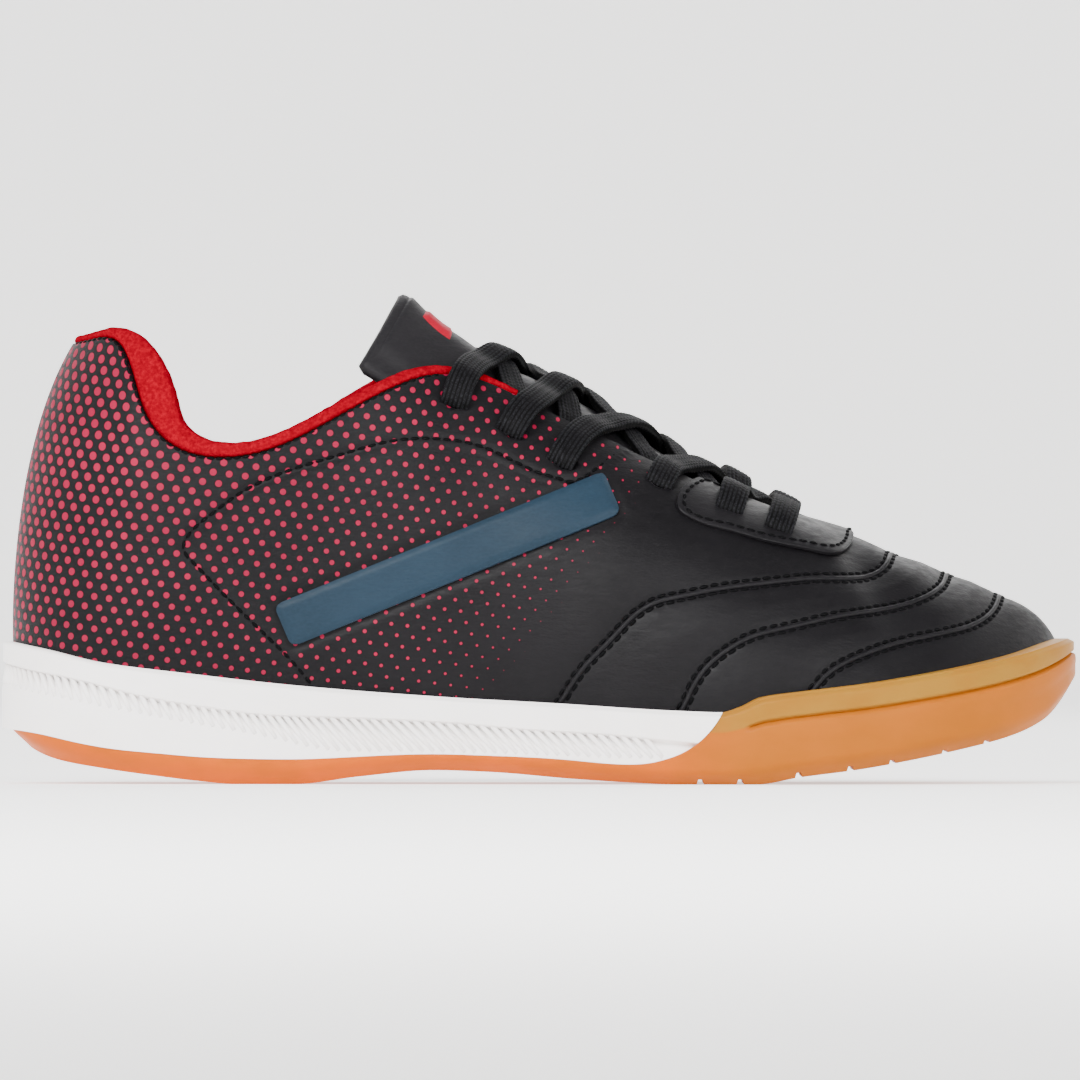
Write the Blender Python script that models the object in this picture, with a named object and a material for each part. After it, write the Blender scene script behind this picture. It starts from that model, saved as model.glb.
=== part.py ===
"""Indoor soccer shoe for the right foot, low cut, laced, with a two-part sole.

Metres. +X points to the toe, +Y to the inner (medial) side, +Z up. The origin is on the floor, under the
middle of the shoe's box. Stations run round the last: 0 is the back of the heel, 12 the tip of the toe, the
outer side is 0 to 12 and the inner side 12 to 24.
"""

import math
from collections import namedtuple

import bmesh
import bpy
import numpy as np

# Driving sizes of the sole.
SOLE_LENGTH = 0.230
HEEL_WIDTH = 0.0620
WAIST_WIDTH = 0.0600
BALL_WIDTH = 0.0840
TOE_OFFSET = 0.0065
HEEL_RIM_HEIGHT = 0.0309
WAIST_RIM_HEIGHT = 0.0190
BALL_RIM_HEIGHT = 0.0156
TOE_RIM_HEIGHT = 0.0300
HEEL_BEVEL = 0.0100
ARCH_RISE = 0.0030
TOE_SPRING = 0.0137
HEEL_BED_HEIGHT = 0.0215
BALL_BED_HEIGHT = 0.0090
TOE_BED_HEIGHT = 0.0205
OUTSOLE_HEEL_THICKNESS = 0.0062
OUTSOLE_WAIST_THICKNESS = 0.0038
WALL_GROOVE_DEPTH = 0.0013
TREAD_GROOVE_WIDTH = 0.0013
TREAD_GROOVE_DEPTH = 0.0011

# Driving sizes of the upper.
UPPER_INSET = 0.0030
UPPER_WALL = 0.0020
COLLAR_BACK_HEIGHT = 0.0944
COLLAR_DIP_HEIGHT = 0.0696
INSTEP_HEIGHT = 0.0874
VAMP_POINT_HEIGHT = 0.0556
TOE_BOX_HEIGHT = 0.0412
COLLAR_WIDTH = 0.0560
THROAT_TOP_WIDTH = 0.0290
THROAT_END_WIDTH = 0.0190
INSTEP_RISE = 0.0050
COLLAR_PAD = 0.0046
COLLAR_DEPTH = 0.0150
EYELET_DIAMETER = 0.0042

# Driving sizes of the tongue, insole, laces and overlays.
TONGUE_WALL = 0.0030
TONGUE_TOP_HEIGHT = 0.1040
TONGUE_HALF_WIDTH = 0.0156
TONGUE_DROP = 0.0120
TONGUE_CROWN = 0.0060
INSOLE_THICKNESS = 0.0035
LACE_WIDTH = 0.0062
LACE_THICKNESS = 0.0014
LACE_LIFT = 0.0005
LACE_ARCH = 0.0014
OVERLAY_WALL = 0.0009
GAP = 0.0003
CUP_GAP = 0.0005
OVERLAY_GAP = 0.0006
LINING_GAP = 0.0008
FIT_CLEARANCE = 0.0009

TIP = 12
LOOP = 24
VAMP_STATION = 9.0
ORIGIN_ALONG = 0.5

# One row for each section of the sole's outline and of the upper. outer and inner are the distances from the
# axis of the heel. The handles shape the wall: rise and bulge at the foot, reach and fall at the top edge.
Section = namedtuple("Section", "station outer inner bulge rise reach fall")
SECTIONS = (
    Section(0, 0.0, 0.0, 0.0020, 0.0200, 0.0112, 0.0185),
    Section(1, 0.220 * HEEL_WIDTH, 0.218 * HEEL_WIDTH, 0.0022, 0.0205, 0.0094, 0.0200),
    Section(2, 0.400 * HEEL_WIDTH, 0.390 * HEEL_WIDTH, 0.0026, 0.0210, 0.0050, 0.0210),
    Section(3, 0.490 * HEEL_WIDTH, 0.478 * HEEL_WIDTH, 0.0028, 0.0200, 0.0030, 0.0180),
    Section(4, 0.520 * HEEL_WIDTH, 0.476 * HEEL_WIDTH, 0.0026, 0.0180, 0.0020, 0.0170),
    Section(5, 0.560 * WAIST_WIDTH, 0.440 * WAIST_WIDTH, 0.0024, 0.0220, 0.0050, 0.0190),
    Section(6, 0.620 * WAIST_WIDTH, 0.430 * WAIST_WIDTH, 0.0020, 0.0250, 0.0110, 0.0140),
    Section(7, 0.500 * BALL_WIDTH, 0.385 * BALL_WIDTH, 0.0018, 0.0240, 0.0150, 0.0085),
    Section(8, 0.512 * BALL_WIDTH, 0.476 * BALL_WIDTH, 0.0016, 0.0210, 0.0170, 0.0055),
    Section(9, 0.436 * BALL_WIDTH, 0.474 * BALL_WIDTH, 0.0014, 0.0175, 0.0190, 0.0022),
    Section(10, 0.288 * BALL_WIDTH, 0.392 * BALL_WIDTH, 0.0013, 0.0140, 0.0165, 0.0030),
    Section(11, 0.104 * BALL_WIDTH, 0.252 * BALL_WIDTH, 0.0012, 0.0110, 0.0130, 0.0030),
    Section(12, -TOE_OFFSET, TOE_OFFSET, 0.0012, 0.0102, 0.0110, 0.0027),
)

# The upper's top edge: the collar from the heel to the instep, the edge of the throat, then the ridge of the
# vamp to the toe. aside is half the opening, centre its middle line, and lift what the inner side adds.
Edge = namedtuple("Edge", "station along aside centre height lift")
TOP_EDGE = (
    Edge(0.0, 0.066, 0.0, 0.0, 0.995 * COLLAR_BACK_HEIGHT, 0.0),
    Edge(1.0, 0.084, 0.200 * COLLAR_WIDTH, 0.0, 1.004 * COLLAR_BACK_HEIGHT, 0.0),
    Edge(2.0, 0.111, 0.345 * COLLAR_WIDTH, 0.0, 0.984 * COLLAR_BACK_HEIGHT, 0.0),
    Edge(2.5, 0.122, 0.405 * COLLAR_WIDTH, 0.0, 0.912 * COLLAR_BACK_HEIGHT, 0.0),
    Edge(3.0, 0.138, 0.448 * COLLAR_WIDTH, 0.0, 0.815 * COLLAR_BACK_HEIGHT, 0.0),
    Edge(3.5, 0.173, 0.482 * COLLAR_WIDTH, 0.0, 1.014 * COLLAR_DIP_HEIGHT, 0.0),
    Edge(4.0, 0.224, 0.500 * COLLAR_WIDTH, 0.0, 1.002 * COLLAR_DIP_HEIGHT, 0.0),
    Edge(4.5, 0.272, 0.486 * COLLAR_WIDTH, 0.0, 1.052 * COLLAR_DIP_HEIGHT, 0.04 * INSTEP_RISE),
    Edge(5.0, 0.320, 0.450 * COLLAR_WIDTH, 0.0, 0.905 * INSTEP_HEIGHT, 0.16 * INSTEP_RISE),
    Edge(5.5, 0.372, 0.388 * COLLAR_WIDTH, -0.0002, 0.975 * INSTEP_HEIGHT, 0.34 * INSTEP_RISE),
    Edge(6.0, 0.420, 0.560 * THROAT_TOP_WIDTH, -0.0006, 0.998 * INSTEP_HEIGHT, 0.56 * INSTEP_RISE),
    Edge(6.25, 0.450, 0.505 * THROAT_TOP_WIDTH, -0.0009, 0.980 * INSTEP_HEIGHT, 0.70 * INSTEP_RISE),
    Edge(6.5, 0.485, 0.470 * THROAT_TOP_WIDTH, -0.0012, 0.938 * INSTEP_HEIGHT, 1.00 * INSTEP_RISE),
    Edge(7.0, 0.555, 0.425 * THROAT_TOP_WIDTH, -0.0014, 0.848 * INSTEP_HEIGHT, 1.34 * INSTEP_RISE),
    Edge(7.5, 0.616, 0.600 * THROAT_END_WIDTH, -0.0012, 1.212 * VAMP_POINT_HEIGHT, 0.96 * INSTEP_RISE),
    Edge(8.0, 0.669, 0.530 * THROAT_END_WIDTH, -0.0008, 1.117 * VAMP_POINT_HEIGHT, 0.60 * INSTEP_RISE),
    Edge(8.5, 0.716, 0.400 * THROAT_END_WIDTH, -0.0004, 1.040 * VAMP_POINT_HEIGHT, 0.22 * INSTEP_RISE),
    Edge(8.8, 0.741, 0.210 * THROAT_END_WIDTH, -0.0001, 1.010 * VAMP_POINT_HEIGHT, 0.04 * INSTEP_RISE),
    Edge(9.0, 0.750, 0.0, 0.0, 1.000 * VAMP_POINT_HEIGHT, 0.0),
    Edge(9.5, 0.785, 0.0, 0.05 * TOE_OFFSET, 0.956 * VAMP_POINT_HEIGHT, 0.0),
    Edge(10.0, 0.822, 0.0, 0.16 * TOE_OFFSET, 1.212 * TOE_BOX_HEIGHT, 0.0),
    Edge(11.0, 0.880, 0.0, 0.50 * TOE_OFFSET, 1.090 * TOE_BOX_HEIGHT, 0.0),
    Edge(12.0, 0.917, 0.0, 0.72 * TOE_OFFSET, 1.000 * TOE_BOX_HEIGHT, 0.0),
)

# Heights along the shoe, seen from the side. along is a share of the length.
Height = namedtuple("Height", "along height")
TREAD = (
    Height(0.000, 1.00 * HEEL_BEVEL),
    Height(0.012, 0.76 * HEEL_BEVEL),
    Height(0.040, 0.52 * HEEL_BEVEL),
    Height(0.084, 0.35 * HEEL_BEVEL),
    Height(0.140, 0.18 * HEEL_BEVEL),
    Height(0.185, 0.06 * HEEL_BEVEL),
    Height(0.217, 0.0),
    Height(0.272, 0.0),
    Height(0.330, 0.53 * ARCH_RISE),
    Height(0.400, 1.00 * ARCH_RISE),
    Height(0.450, 0.88 * ARCH_RISE),
    Height(0.530, 0.38 * ARCH_RISE),
    Height(0.590, 0.10 * ARCH_RISE),
    Height(0.622, 0.0),
    Height(0.700, 0.0),
    Height(0.742, 0.11 * TOE_SPRING),
    Height(0.800, 0.23 * TOE_SPRING),
    Height(0.850, 0.37 * TOE_SPRING),
    Height(0.905, 0.56 * TOE_SPRING),
    Height(0.945, 0.75 * TOE_SPRING),
    Height(0.974, 1.00 * TOE_SPRING),
    Height(0.991, 1.31 * TOE_SPRING),
    Height(1.000, 1.56 * TOE_SPRING),
)
RIM = (
    Height(0.000, 1.000 * HEEL_RIM_HEIGHT),
    Height(0.045, 0.930 * HEEL_RIM_HEIGHT),
    Height(0.095, 0.842 * HEEL_RIM_HEIGHT),
    Height(0.170, 0.770 * HEEL_RIM_HEIGHT),
    Height(0.276, 1.110 * WAIST_RIM_HEIGHT),
    Height(0.415, 0.980 * WAIST_RIM_HEIGHT),
    Height(0.515, 1.110 * BALL_RIM_HEIGHT),
    Height(0.625, 1.010 * BALL_RIM_HEIGHT),
    Height(0.668, 0.988 * BALL_RIM_HEIGHT),
    Height(0.685, 1.060 * BALL_RIM_HEIGHT),
    Height(0.704, 1.190 * BALL_RIM_HEIGHT),
    Height(0.746, 0.664 * TOE_RIM_HEIGHT),
    Height(0.800, 0.714 * TOE_RIM_HEIGHT),
    Height(0.886, 0.826 * TOE_RIM_HEIGHT),
    Height(0.935, 0.915 * TOE_RIM_HEIGHT),
    Height(0.970, 1.005 * TOE_RIM_HEIGHT),
    Height(1.000, 1.075 * TOE_RIM_HEIGHT),
)
BED = (
    Height(0.00, 1.00 * HEEL_BED_HEIGHT),
    Height(0.10, 0.91 * HEEL_BED_HEIGHT),
    Height(0.20, 0.81 * HEEL_BED_HEIGHT),
    Height(0.30, 0.71 * HEEL_BED_HEIGHT),
    Height(0.40, 0.62 * HEEL_BED_HEIGHT),
    Height(0.50, 1.24 * BALL_BED_HEIGHT),
    Height(0.60, 1.06 * BALL_BED_HEIGHT),
    Height(0.66, 1.00 * BALL_BED_HEIGHT),
    Height(0.72, 1.00 * BALL_BED_HEIGHT),
    Height(0.80, 0.50 * TOE_BED_HEIGHT),
    Height(0.88, 0.63 * TOE_BED_HEIGHT),
    Height(0.94, 0.79 * TOE_BED_HEIGHT),
    Height(1.00, 1.00 * TOE_BED_HEIGHT),
)
# The line where midsole and outsole meet: along the floor of the shoe, then up a ramp to the rim.
SEAM = (
    Height(0.000, 0.0034 + 1.35 * OUTSOLE_HEEL_THICKNESS),
    Height(0.030, 0.0028 + 1.30 * OUTSOLE_HEEL_THICKNESS),
    Height(0.064, 0.0016 + 1.22 * OUTSOLE_HEEL_THICKNESS),
    Height(0.102, 0.0010 + 1.06 * OUTSOLE_HEEL_THICKNESS),
    Height(0.146, 1.06 * OUTSOLE_HEEL_THICKNESS),
    Height(0.180, 0.95 * OUTSOLE_HEEL_THICKNESS),
    Height(0.235, 0.87 * OUTSOLE_HEEL_THICKNESS),
    Height(0.276, 0.86 * OUTSOLE_HEEL_THICKNESS),
    Height(0.330, 0.53 * ARCH_RISE + 1.12 * OUTSOLE_WAIST_THICKNESS),
    Height(0.400, ARCH_RISE + 0.90 * OUTSOLE_WAIST_THICKNESS),
    Height(0.450, 0.93 * ARCH_RISE + 0.88 * OUTSOLE_WAIST_THICKNESS),
    Height(0.530, 0.45 * ARCH_RISE + 1.00 * OUTSOLE_WAIST_THICKNESS),
    Height(0.584, 1.12 * OUTSOLE_WAIST_THICKNESS),
    Height(0.600, 1.18 * OUTSOLE_WAIST_THICKNESS),
    Height(0.614, 1.36 * OUTSOLE_WAIST_THICKNESS),
    Height(0.638, 1.95 * OUTSOLE_WAIST_THICKNESS),
    Height(0.656, 2.85 * OUTSOLE_WAIST_THICKNESS),
    Height(0.6655, 3.60 * OUTSOLE_WAIST_THICKNESS),
    Height(0.6720, 4.40 * OUTSOLE_WAIST_THICKNESS),
    Height(0.6760, 5.60 * OUTSOLE_WAIST_THICKNESS),
)

# The bands of a sole's side, from rim to floor. down is a share of the wall, and out is measured from the
# sole's outline.
Band = namedtuple("Band", "down out")
MIDSOLE_BANDS = (
    Band(0.00, -0.0010),
    Band(0.10, -0.0002),
    Band(0.24, 0.0),
    Band(0.32, -WALL_GROOVE_DEPTH),
    Band(0.40, -WALL_GROOVE_DEPTH),
    Band(0.64, -0.0002),
    Band(1.00, -0.0004),
)
OUTSOLE_BANDS = (
    Band(0.00, -0.0012),
    Band(0.08, -0.0003),
    Band(0.25, -0.0003),
    Band(0.29, -0.0010),
    Band(0.34, -0.0003),
    Band(0.60, 0.0),
    Band(0.84, -0.0009),
    Band(0.95, -0.0024),
    Band(1.00, -0.0048),
)

# Places seen from the side. along is a share of SOLE_LENGTH, height a share of INSTEP_HEIGHT.
Spot = namedtuple("Spot", "along height")
EYELETS = (
    Spot(0.422, 0.938),
    Spot(0.476, 0.865),
    Spot(0.524, 0.787),
    Spot(0.612, 0.736),
    Spot(0.676, 0.662),
    Spot(0.7235, 0.613),
)
QUARTER_BAND = (Spot(0.2535, 0.437), Spot(0.270, 0.335), Spot(0.5757, 0.660), Spot(0.559, 0.762))
VAMP_STAY_EDGE = (
    Spot(0.640, 0.640),
    Spot(0.649, 0.628),
    Spot(0.671, 0.613),
    Spot(0.697, 0.594),
    Spot(0.723, 0.577),
    Spot(0.750, 0.564),
    Spot(0.772, 0.555),
    Spot(0.783, 0.564),
    Spot(0.788, 0.577),
    Spot(0.790, 0.592),
)
TREAD_GROOVES = (0.649, 0.686, 0.740, 0.788, 0.827, 0.876, 0.915)

# The collar's padded lining. reach is how far it stands over the upper's edge, pad a share of COLLAR_PAD and
# deep a share of COLLAR_DEPTH.
Cuff = namedtuple("Cuff", "station reach pad deep")
CUFF = (
    Cuff(0.0, 0.0024, 0.90, 1.00),
    Cuff(1.0, 0.0024, 0.95, 1.00),
    Cuff(1.8, 0.0036, 1.00, 1.00),
    Cuff(2.4, 0.0070, 1.00, 1.00),
    Cuff(2.8, 0.0076, 1.00, 1.00),
    Cuff(3.3, 0.0054, 1.00, 1.00),
    Cuff(4.0, 0.0032, 0.80, 0.92),
    Cuff(4.6, 0.0025, 0.46, 0.74),
    Cuff(5.2, 0.0021, 0.26, 0.56),
    Cuff(6.0, 0.0017, 0.20, 0.44),
    Cuff(6.45, 0.0012, 0.18, 0.36),
)
CUFF_END = 6.45
TONGUE_START = 6.30

# The tongue's crown over the throat's edges, by station, as a share of TONGUE_CROWN.
Crown = namedtuple("Crown", "station crown")
TONGUE_CROWNS = (
    Crown(6.0, 1.06),
    Crown(6.3, 1.00),
    Crown(6.6, 0.82),
    Crown(7.0, 0.42),
    Crown(7.4, 0.34),
    Crown(7.8, 0.24),
    Crown(8.3, 0.14),
    Crown(8.8, 0.05),
    Crown(9.6, 0.0),
)
# The free top of the tongue: its middle line from the instep up, as shares of SOLE_LENGTH and of
# TONGUE_TOP_HEIGHT.
TONGUE_LINE = (Spot(0.427, 0.909), Spot(0.410, 0.934), Spot(0.396, 0.960), Spot(0.384, 0.986), Spot(0.3775, 1.0))


def slopes(knots, values):
    """Slopes of a natural cubic spline at its knots."""
    count = len(knots)
    step = np.diff(knots)
    rise = np.diff(values) / step
    matrix = np.zeros((count, count))
    right = np.zeros(count)
    matrix[0, :2] = 2.0, 1.0
    matrix[-1, -2:] = 1.0, 2.0
    right[0], right[-1] = 3.0 * rise[0], 3.0 * rise[-1]
    for i in range(1, count - 1):
        matrix[i, i - 1 : i + 2] = step[i], 2.0 * (step[i - 1] + step[i]), step[i - 1]
        right[i] = 3.0 * (step[i] * rise[i - 1] + step[i - 1] * rise[i])
    return np.linalg.solve(matrix, right)


def flat_slopes(knots, values):
    """Slopes that never overshoot, so that a level stretch stays level."""
    step = np.diff(knots)
    rise = np.diff(values) / step
    slope = np.zeros(len(knots))
    slope[0], slope[-1] = rise[0], rise[-1]
    for i in range(1, len(knots) - 1):
        before, after = rise[i - 1], rise[i]
        if before * after > 0:
            near = 2.0 * step[i] + step[i - 1]
            far = step[i] + 2.0 * step[i - 1]
            slope[i] = (near + far) / (near / before + far / after)
    return slope


def curve(knots, values, slope_rule=slopes):
    """A smooth function through the values."""
    knots = np.array(knots, float)
    values = np.array(values, float)
    slope = slope_rule(knots, values)

    def at(place):
        place = min(max(place, knots[0]), knots[-1])
        i = min(int(np.searchsorted(knots, place, side="right")) - 1, len(knots) - 2)
        i = max(i, 0)
        width = knots[i + 1] - knots[i]
        t = (place - knots[i]) / width
        return (
            values[i] * (1 + 2 * t) * (1 - t) ** 2
            + values[i + 1] * t * t * (3 - 2 * t)
            + width * slope[i] * t * (1 - t) ** 2
            - width * slope[i + 1] * t * t * (1 - t)
        )

    return at


def height_curve(rows):
    """A height along the shoe, from a table of heights."""
    return curve([row.along for row in rows], [row.height for row in rows], flat_slopes)


def loop_curve(rows, outer, inner):
    """A value that runs smoothly round the whole last, from a table of one side's stations."""
    near = [row for row in rows if 0 < row.station <= 3]
    points = [(-row.station, inner(row)) for row in near]
    points += [(row.station, outer(row)) for row in rows]
    points += [(LOOP - row.station, inner(row)) for row in rows if 0 < row.station < TIP]
    points += [(LOOP, outer(rows[0]))]
    points += [(LOOP + row.station, outer(row)) for row in near]
    points.sort()
    return curve([p[0] for p in points], [p[1] for p in points])


def both(rows, value):
    return loop_curve(rows, value, value)


tread_height = height_curve(TREAD)
rim_height = height_curve(RIM)
bed_height = height_curve(BED)
outline_aside = loop_curve(SECTIONS, lambda row: -row.outer, lambda row: row.inner)
wall_bulge = both(SECTIONS, lambda row: row.bulge)
wall_rise = both(SECTIONS, lambda row: row.rise)
edge_reach = both(SECTIONS, lambda row: row.reach)
edge_fall = both(SECTIONS, lambda row: row.fall)
edge_along = both(TOP_EDGE, lambda row: row.along * SOLE_LENGTH)
edge_aside = loop_curve(TOP_EDGE, lambda row: row.centre - row.aside, lambda row: row.centre + row.aside)
edge_height = loop_curve(TOP_EDGE, lambda row: row.height, lambda row: row.height + row.lift)
cuff_reach = curve([row.station for row in CUFF], [row.reach for row in CUFF])
cuff_pad = curve([row.station for row in CUFF], [row.pad * COLLAR_PAD for row in CUFF])
cuff_deep = curve([row.station for row in CUFF], [row.deep * COLLAR_DEPTH for row in CUFF])
tongue_crown = curve([row.station for row in TONGUE_CROWNS], [row.crown * TONGUE_CROWN for row in TONGUE_CROWNS])


def outline(station):
    """The sole's outline in plan, measured from the heel."""
    along = SOLE_LENGTH * (1 - math.cos(math.pi * station / TIP)) / 2
    return np.array([along, outline_aside(station % LOOP), 0.0])


def outward(station):
    """The outline's level normal, pointing out of the shoe."""
    step = 0.01
    tangent = outline(station + step) - outline(station - step)
    normal = np.array([tangent[1], -tangent[0], 0.0])
    return normal / np.linalg.norm(normal)


def share(along):
    return along / SOLE_LENGTH


def wall_corners(station):
    """The four control points of the upper's wall at a station: foot, rise, reach and top edge."""
    normal = outward(station)
    foot = outline(station) - UPPER_INSET * normal
    foot[2] = bed_height(share(foot[0])) + GAP
    place = station % LOOP
    edge = np.array([edge_along(place), edge_aside(place), edge_height(place)])
    if VAMP_STATION <= place <= LOOP - VAMP_STATION:
        edge[1] = edge_aside(min(place, LOOP - place))
    above = foot + wall_bulge(place) * normal + np.array([0, 0, wall_rise(place)])
    below = edge + edge_reach(place) * normal - np.array([0, 0, edge_fall(place)])
    return foot, above, below, edge


def wall_point(station, up):
    """A point of the upper's outer face. up runs from 0 at the foot to 1 at the top edge."""
    foot, above, below, edge = wall_corners(station)
    down = 1 - up
    return down**3 * foot + 3 * down * down * up * above + 3 * down * up * up * below + up**3 * edge


def wall_normal(station, up):
    """The outer face's normal, pointing out."""
    step = 0.02
    up = min(max(up, step), 1 - step)
    along = wall_point(station + step, up) - wall_point(station - step, up)
    rising = wall_point(station, up + step / 2) - wall_point(station, up - step / 2)
    normal = np.cross(along, rising)
    return normal / np.linalg.norm(normal)


def closed_over(station):
    """Whether the two sides of the upper meet at this station's top edge."""
    place = station % LOOP
    return VAMP_STATION - 1e-6 <= place <= LOOP - VAMP_STATION + 1e-6


def shell_point(station, up, out):
    """A point at a distance out from the upper's outer face."""
    normal = wall_normal(station, up)
    if up > 0.999 and closed_over(station):
        normal = normal + wall_normal(LOOP - station, up)
        normal = normal / np.linalg.norm(normal)
    return wall_point(station, up) + out * normal


def rim_share(station):
    """How far up the wall the sole's rim reaches."""
    low, high = 0.0, 0.9
    for _ in range(22):
        middle = (low + high) / 2
        point = wall_point(station, middle)
        if point[2] < rim_height(share(point[0])):
            low = middle
        else:
            high = middle
    return (low + high) / 2


def stations_by_length(start, end, count):
    """Stations of the outer side, evenly spaced along the outline."""
    fine = np.linspace(start, end, 400)
    points = np.array([outline(s) for s in fine])
    length = np.concatenate([[0], np.cumsum(np.linalg.norm(np.diff(points, axis=0), axis=1))])
    return list(np.interp(np.linspace(0, length[-1], count + 1), length, fine))


def outline_length(start, end):
    points = np.array([outline(s) for s in np.linspace(start, end, 200)])
    return float(np.linalg.norm(np.diff(points, axis=0), axis=1).sum())


def both_sides(stations):
    """The stations of the outer side, and the same ones back along the inner side."""
    return stations + [LOOP - s for s in reversed(stations) if 0 < s < TIP]


for leftover in list(bpy.data.objects):
    bpy.data.objects.remove(leftover)


def material(name, colour, roughness):
    made = bpy.data.materials.new(name)
    made.use_nodes = True
    shader = made.node_tree.nodes["Principled BSDF"]
    shader.inputs["Base Color"].default_value = (*colour, 1.0)
    shader.inputs["Roughness"].default_value = roughness
    shader.inputs["Metallic"].default_value = 0.0
    return made


MATERIALS = {
    "black_leather": material("black_leather", (0.020, 0.019, 0.021), 0.48),
    "slate_leather": material("slate_leather", (0.050, 0.082, 0.110), 0.42),
    "red_textile": material("red_textile", (0.560, 0.010, 0.030), 0.85),
    "white_foam": material("white_foam", (0.830, 0.800, 0.790), 0.55),
    "gum_rubber": material("gum_rubber", (0.760, 0.330, 0.090), 0.40),
    "black_lace": material("black_lace", (0.010, 0.010, 0.011), 0.80),
    "black_textile": material("black_textile", (0.030, 0.030, 0.032), 0.85),
}


WIDEST = [outline_aside(station) for station in np.linspace(0, LOOP, 961)]
ORIGIN_ASIDE = (min(WIDEST) + max(WIDEST)) / 2


def origin_shift(point):
    """From the heel's axis to the middle of the shoe's box."""
    return (point[0] - ORIGIN_ALONG * SOLE_LENGTH, point[1] - ORIGIN_ASIDE, point[2])


def make_object(name, points, faces, finish, smooth=True):
    """An object from points measured from the heel."""
    mesh = bpy.data.meshes.new(name)
    mesh.from_pydata([origin_shift(p) for p in points], [], faces)
    mesh.validate()
    tidy = bmesh.new()
    tidy.from_mesh(mesh)
    bmesh.ops.remove_doubles(tidy, verts=tidy.verts, dist=1e-6)
    bmesh.ops.recalc_face_normals(tidy, faces=tidy.faces)
    tidy.to_mesh(mesh)
    tidy.free()
    if smooth:
        mesh.shade_smooth()
        mesh.set_sharp_from_angle(angle=math.radians(40))
    mesh.materials.append(MATERIALS[finish])
    made = bpy.data.objects.new(name, mesh)
    bpy.context.scene.collection.objects.link(made)
    return made


def make_cutter(name, points, faces):
    made = make_object(name, points, faces, "black_leather", smooth=False)
    made.hide_render = True
    made.display_type = "WIRE"
    return made


def cut(target, cutter, operation="DIFFERENCE"):
    step = target.modifiers.new(cutter.name, "BOOLEAN")
    step.operation = operation
    step.solver = "EXACT"
    step.object = cutter


def ring_faces(rings, closed_ring=True, caps=True):
    """Faces of a sweep: rings of equal length, one after another, with closed ends."""
    count = len(rings[0])
    faces = []
    for i in range(len(rings) - 1):
        for j in range(count if closed_ring else count - 1):
            k = (j + 1) % count
            faces.append((i * count + j, i * count + k, (i + 1) * count + k, (i + 1) * count + j))
    if caps:
        faces.append(tuple(range(count)))
        faces.append(tuple((len(rings) - 1) * count + j for j in reversed(range(count))))
    return faces


def make_sweep(name, rings, finish):
    return make_object(name, [p for ring in rings for p in ring], ring_faces(rings), finish)


def plate_faces(count_outer, row_offset, total, flip):
    """Strips that join the two sides of a closed loop of points across the shoe."""
    faces = []
    for j in range(count_outer - 1):
        left, right = (total - j) % total, (total - j - 1) % total
        corners = [row_offset + j, row_offset + j + 1, row_offset + right, row_offset + left]
        corners = list(dict.fromkeys(corners))
        faces.append(tuple(reversed(corners)) if flip else tuple(corners))
    return faces


def sole_column(station, bands, floor):
    """One column of a cupped sole: up the inner wall, over the rim and down the banded side."""
    rim = rim_share(station)
    column = [shell_point(station, up * rim, CUP_GAP) for up in (0.0, 0.35, 0.70, 1.0)]
    column[0][2] = bed_height(share(column[0][0]))
    top = column[-1][2]
    for band in bands:
        point = outline(station) + band.out * outward(station)
        low = floor(share(point[0]))
        point[2] = top - band.down * (top - low)
        column.append(point)
    return column


def sole_body(name, stations, bands, floor, finish):
    """A cupped sole with a flat footbed: one closed solid round the whole loop of stations."""
    columns = [sole_column(s, bands, floor) for s in both_sides(stations)]
    total, levels = len(columns), len(columns[0])
    points = [columns[j][level] for level in range(levels) for j in range(total)]
    faces = []
    for level in range(levels - 1):
        low, high = level * total, (level + 1) * total
        for j in range(total):
            k = (j + 1) % total
            faces.append((low + j, low + k, high + k, high + j))
    faces += plate_faces(len(stations), 0, total, False)
    faces += plate_faces(len(stations), (levels - 1) * total, total, True)
    return make_object(name, points, faces, finish)


def seam_line(distance):
    """The seam between midsole and outsole, moved up by a distance square to itself."""
    line = np.array([(row.along * SOLE_LENGTH, row.height) for row in SEAM])
    along = np.gradient(line, axis=0)
    along /= np.linalg.norm(along, axis=1)[:, None]
    moved = [tuple(p) for p in line + distance * np.stack([-along[:, 1], along[:, 0]], axis=1)]
    return [(-0.02, moved[0][1])] + moved[1:]


def seam_block(name, profile):
    rings = [[(x, y, z) for x, z in profile] for y in (-BALL_WIDTH, BALL_WIDTH)]
    return make_cutter(name, [p for ring in rings for p in ring], ring_faces(rings))


def make_midsole():
    """White foam wedge from the heel to the ball, with a grooved side band."""
    stations = stations_by_length(0, 4, 24) + stations_by_length(4, 8.4, 18)[1:]
    low = [Height(row.along, row.height - 0.002) for row in SEAM[:14]]
    midsole = sole_body("midsole", stations, MIDSOLE_BANDS, height_curve(low), "white_foam")
    line = seam_line(GAP)
    far = SOLE_LENGTH + 0.02
    profile = line + [(line[-1][0], 0.09), (far, 0.09), (far, -0.03), (-0.02, -0.03)]
    cut(midsole, seam_block("seam_below", profile))
    return midsole


def tread_groove(along):
    """One groove across the tread, as a shallow block."""
    middle = along * SOLE_LENGTH
    half = TREAD_GROOVE_WIDTH / 2
    rings = []
    for side in (-1, 1):
        ring = []
        for offset, depth in ((-half, 1), (half, 1), (half, -3), (-half, -3)):
            rise = tread_height(share(middle + offset))
            ring.append((middle + offset, side * BALL_WIDTH, rise + depth * TREAD_GROOVE_DEPTH))
        rings.append(ring)
    return rings


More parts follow.
